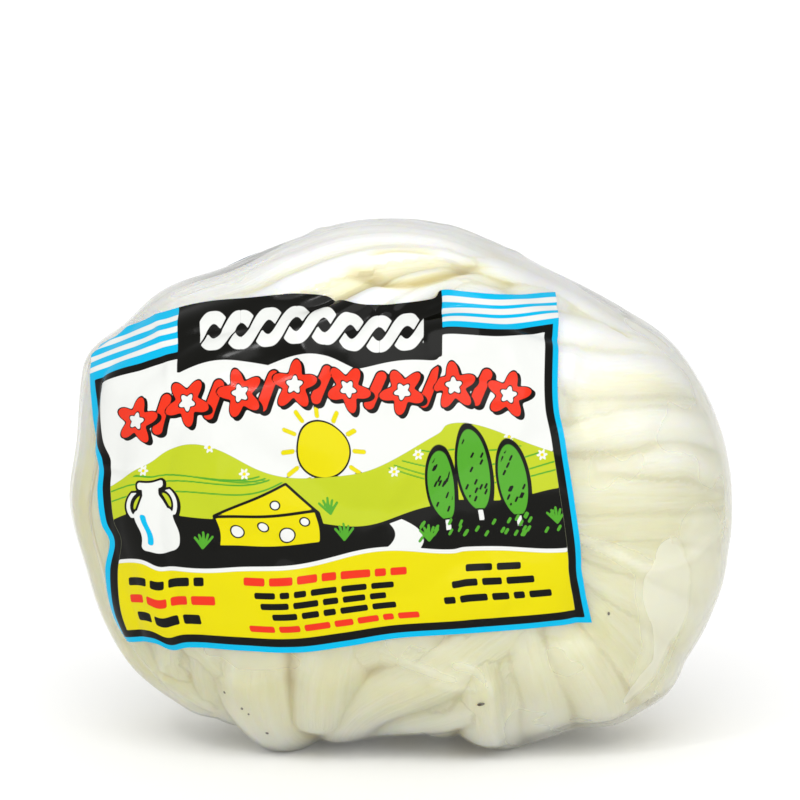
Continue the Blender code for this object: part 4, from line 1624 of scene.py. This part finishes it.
# %% The finish of the film, and of the seeds
FILM_IOR = 1.45
MILK_WHITE = (0.94, 0.945, 0.93, 1)


def film_material():
    """Clear film that mirrors the room by the Fresnel term, milky where it stands off
    the cheese, and painted white on the flap as a painted reflection of a light."""
    material, tree, shader = new_material("film")
    tree.nodes.remove(shader)
    output = tree.nodes["Material Output"]
    place_on = add_node(tree, "ShaderNodeTexCoord")
    crinkle = use_group(tree, CRINKLE, Vector=place_on.outputs["Object"], Grain=1.0)
    normal = bump(tree, crinkle.outputs["Height"], 0.6, 0.0010)
    fresnel = add_node(tree, "ShaderNodeFresnel")
    fresnel.inputs["IOR"].default_value = FILM_IOR
    link(tree, normal, fresnel.inputs["Normal"])
    gloss = add_node(tree, "ShaderNodeBsdfGlossy")
    gloss.inputs["Roughness"].default_value = 0.10
    gloss.inputs["Color"].default_value = (1, 1, 1, 1)
    link(tree, normal, gloss.inputs["Normal"])
    clear = add_node(tree, "ShaderNodeBsdfTransparent")
    milk = add_node(tree, "ShaderNodeMixShader")
    for number, kind in enumerate(("ShaderNodeBsdfDiffuse", "ShaderNodeBsdfTranslucent")):
        scatter = add_node(tree, kind)
        scatter.inputs["Color"].default_value = MILK_WHITE
        link(tree, scatter.outputs[0], milk.inputs[number + 1])
    uneven = map_range(tree, crinkle.outputs["Haze"], 0.35, 0.65, 0.75, 1.2)
    haze_and_glare = maths(tree, "MULTIPLY", attribute(tree, "haze_and_glare"), uneven)
    # the flap's white is a painted reflection of a light
    flap = map_range(tree, attribute(tree, "flap"), -0.5, 0.5, 0.0, FLAP_GLARE_WHITE)
    haze_and_glare = maths(tree, "MAXIMUM", haze_and_glare, flap)
    shine = add_node(tree, "ShaderNodeMixShader")
    link(tree, fresnel.outputs[0], shine.inputs["Fac"])
    link(tree, clear.outputs[0], shine.inputs[1])
    link(tree, gloss.outputs[0], shine.inputs[2])
    cloudy = add_node(tree, "ShaderNodeMixShader")
    link(tree, haze_and_glare, cloudy.inputs["Fac"])
    link(tree, shine.outputs[0], cloudy.inputs[1])
    link(tree, milk.outputs[0], cloudy.inputs[2])
    link(tree, cloudy.outputs[0], output.inputs["Surface"])
    return material


def seed_material():
    """Dull black brown."""
    material, _, shader = new_material("seed")
    shader.inputs["Base Color"].default_value = (0.05, 0.025, 0.012, 1)
    shader.inputs["Roughness"].default_value = 0.6
    return material


FILM, SEED = film_material(), seed_material()
print("film has", len(FILM.node_tree.nodes), "nodes")

# %% Dress every piece
def dress(obj, material):
    """Gives a piece its finish and the body that it rides on."""
    obj.data.materials.clear()
    obj.data.materials.append(material)
    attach(obj, "root")


dress(cheese, CHEESE)
dress(film, FILM)
dress(front_print, PRINT)
dress(back_print, PRINT)
dress(seed_piece, SEED)
for piece in (film, cheese):
    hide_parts("bagged_cheese")
print("materials", len(bpy.data.materials))

# %% [markdown]
# ## Floor, light and camera
#
# A pale floor that glows faintly, as a light table does, one broad soft light from
# above, weak light all round and from low in front, a small hard light for glints on
# the film, and a long lens a little above the level of the object.

# %% Floor
FLOOR_SIZE = 12.0
FLOOR_GAP = 0.0001  # under the flat feet, so that no two faces lie in one plane
floor_corners = np.array([(-1, -1, 0), (1, -1, 0), (1, 1, 0), (-1, 1, 0)]) * FLOOR_SIZE / 2
floor = make_mesh("floor", floor_corners + [0, 0, LOW[2] - FLOOR_GAP], [(0, 1, 2, 3)])
floor_material, _, floor_shader = new_material("floor")
floor_shader.inputs["Base Color"].default_value = (0.93, 0.93, 0.93, 1)
floor_shader.inputs["Roughness"].default_value = 0.9
floor_shader.inputs["Specular IOR Level"].default_value = 0.1
floor_shader.inputs["Emission Color"].default_value = (1, 1, 1, 1)
floor_shader.inputs["Emission Strength"].default_value = 0.06
floor.data.materials.append(floor_material)
floor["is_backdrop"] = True
print("floor", FLOOR_SIZE, "m wide")

# %% Light
world = bpy.data.worlds.new("room")
world.use_nodes = True
world.node_tree.nodes["Background"].inputs["Color"].default_value = (1, 1, 1, 1)
world.node_tree.nodes["Background"].inputs["Strength"].default_value = 0.84
bpy.context.scene.world = world


def aim(obj, location, target):
    """Puts a light or a camera somewhere, looking at a target."""
    obj.location = location
    way = Vector(target) - Vector(location)
    obj.rotation_mode = "QUATERNION"
    obj.rotation_quaternion = way.to_track_quat("-Z", "Y")


def lamp(name, kind, location, target, **settings):
    """A light of a kind with its settings, aimed at a target."""
    light = bpy.data.lights.new(name, kind)
    for key, value in settings.items():
        setattr(light, key, value)
    obj = bpy.data.objects.new(name, light)
    bpy.context.scene.collection.objects.link(obj)
    aim(obj, location, target)


BASE, MIDDLE = (0, 0, 0), (0, 0, 0.05)
lamp("top_light", "SUN", (0.03, -0.70, 0.70), BASE, energy=1.0, angle=math.radians(40))
lamp("glint", "SUN", (-0.35, -0.62, 0.70), BASE, energy=0.25, angle=math.radians(6))
lamp("front_fill", "AREA", (0.1, -1.7, 0.0), MIDDLE, shape="SQUARE", size=1.6, energy=11.0)
print("lights", len(bpy.data.lights))

# %% Camera
CAMERA_DISTANCE, CAMERA_LENS = 0.90, 200.4
TARGET = Vector((-0.0003, 0, 0.0694))
camera = bpy.data.objects.new("camera", bpy.data.cameras.new("camera"))
camera.data.lens = CAMERA_LENS
camera.data.clip_start = 0.01
bpy.context.scene.collection.objects.link(camera)
tilt = math.radians(VIEW_ELEVATION_DEG)
aim(camera, TARGET + CAMERA_DISTANCE * Vector((0, -math.cos(tilt), math.sin(tilt))), TARGET)
bpy.context.scene.camera = camera
bpy.context.scene.view_settings.view_transform = "Standard"
print("camera", CAMERA_LENS, "mm at", CAMERA_DISTANCE, "m")

# %% Record both boxes, and finish
boxes = {"cad": cad_box, "visual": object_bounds()}
{name: [list(map(float, corner)) for corner in box_] for name, box_ in boxes.items()}
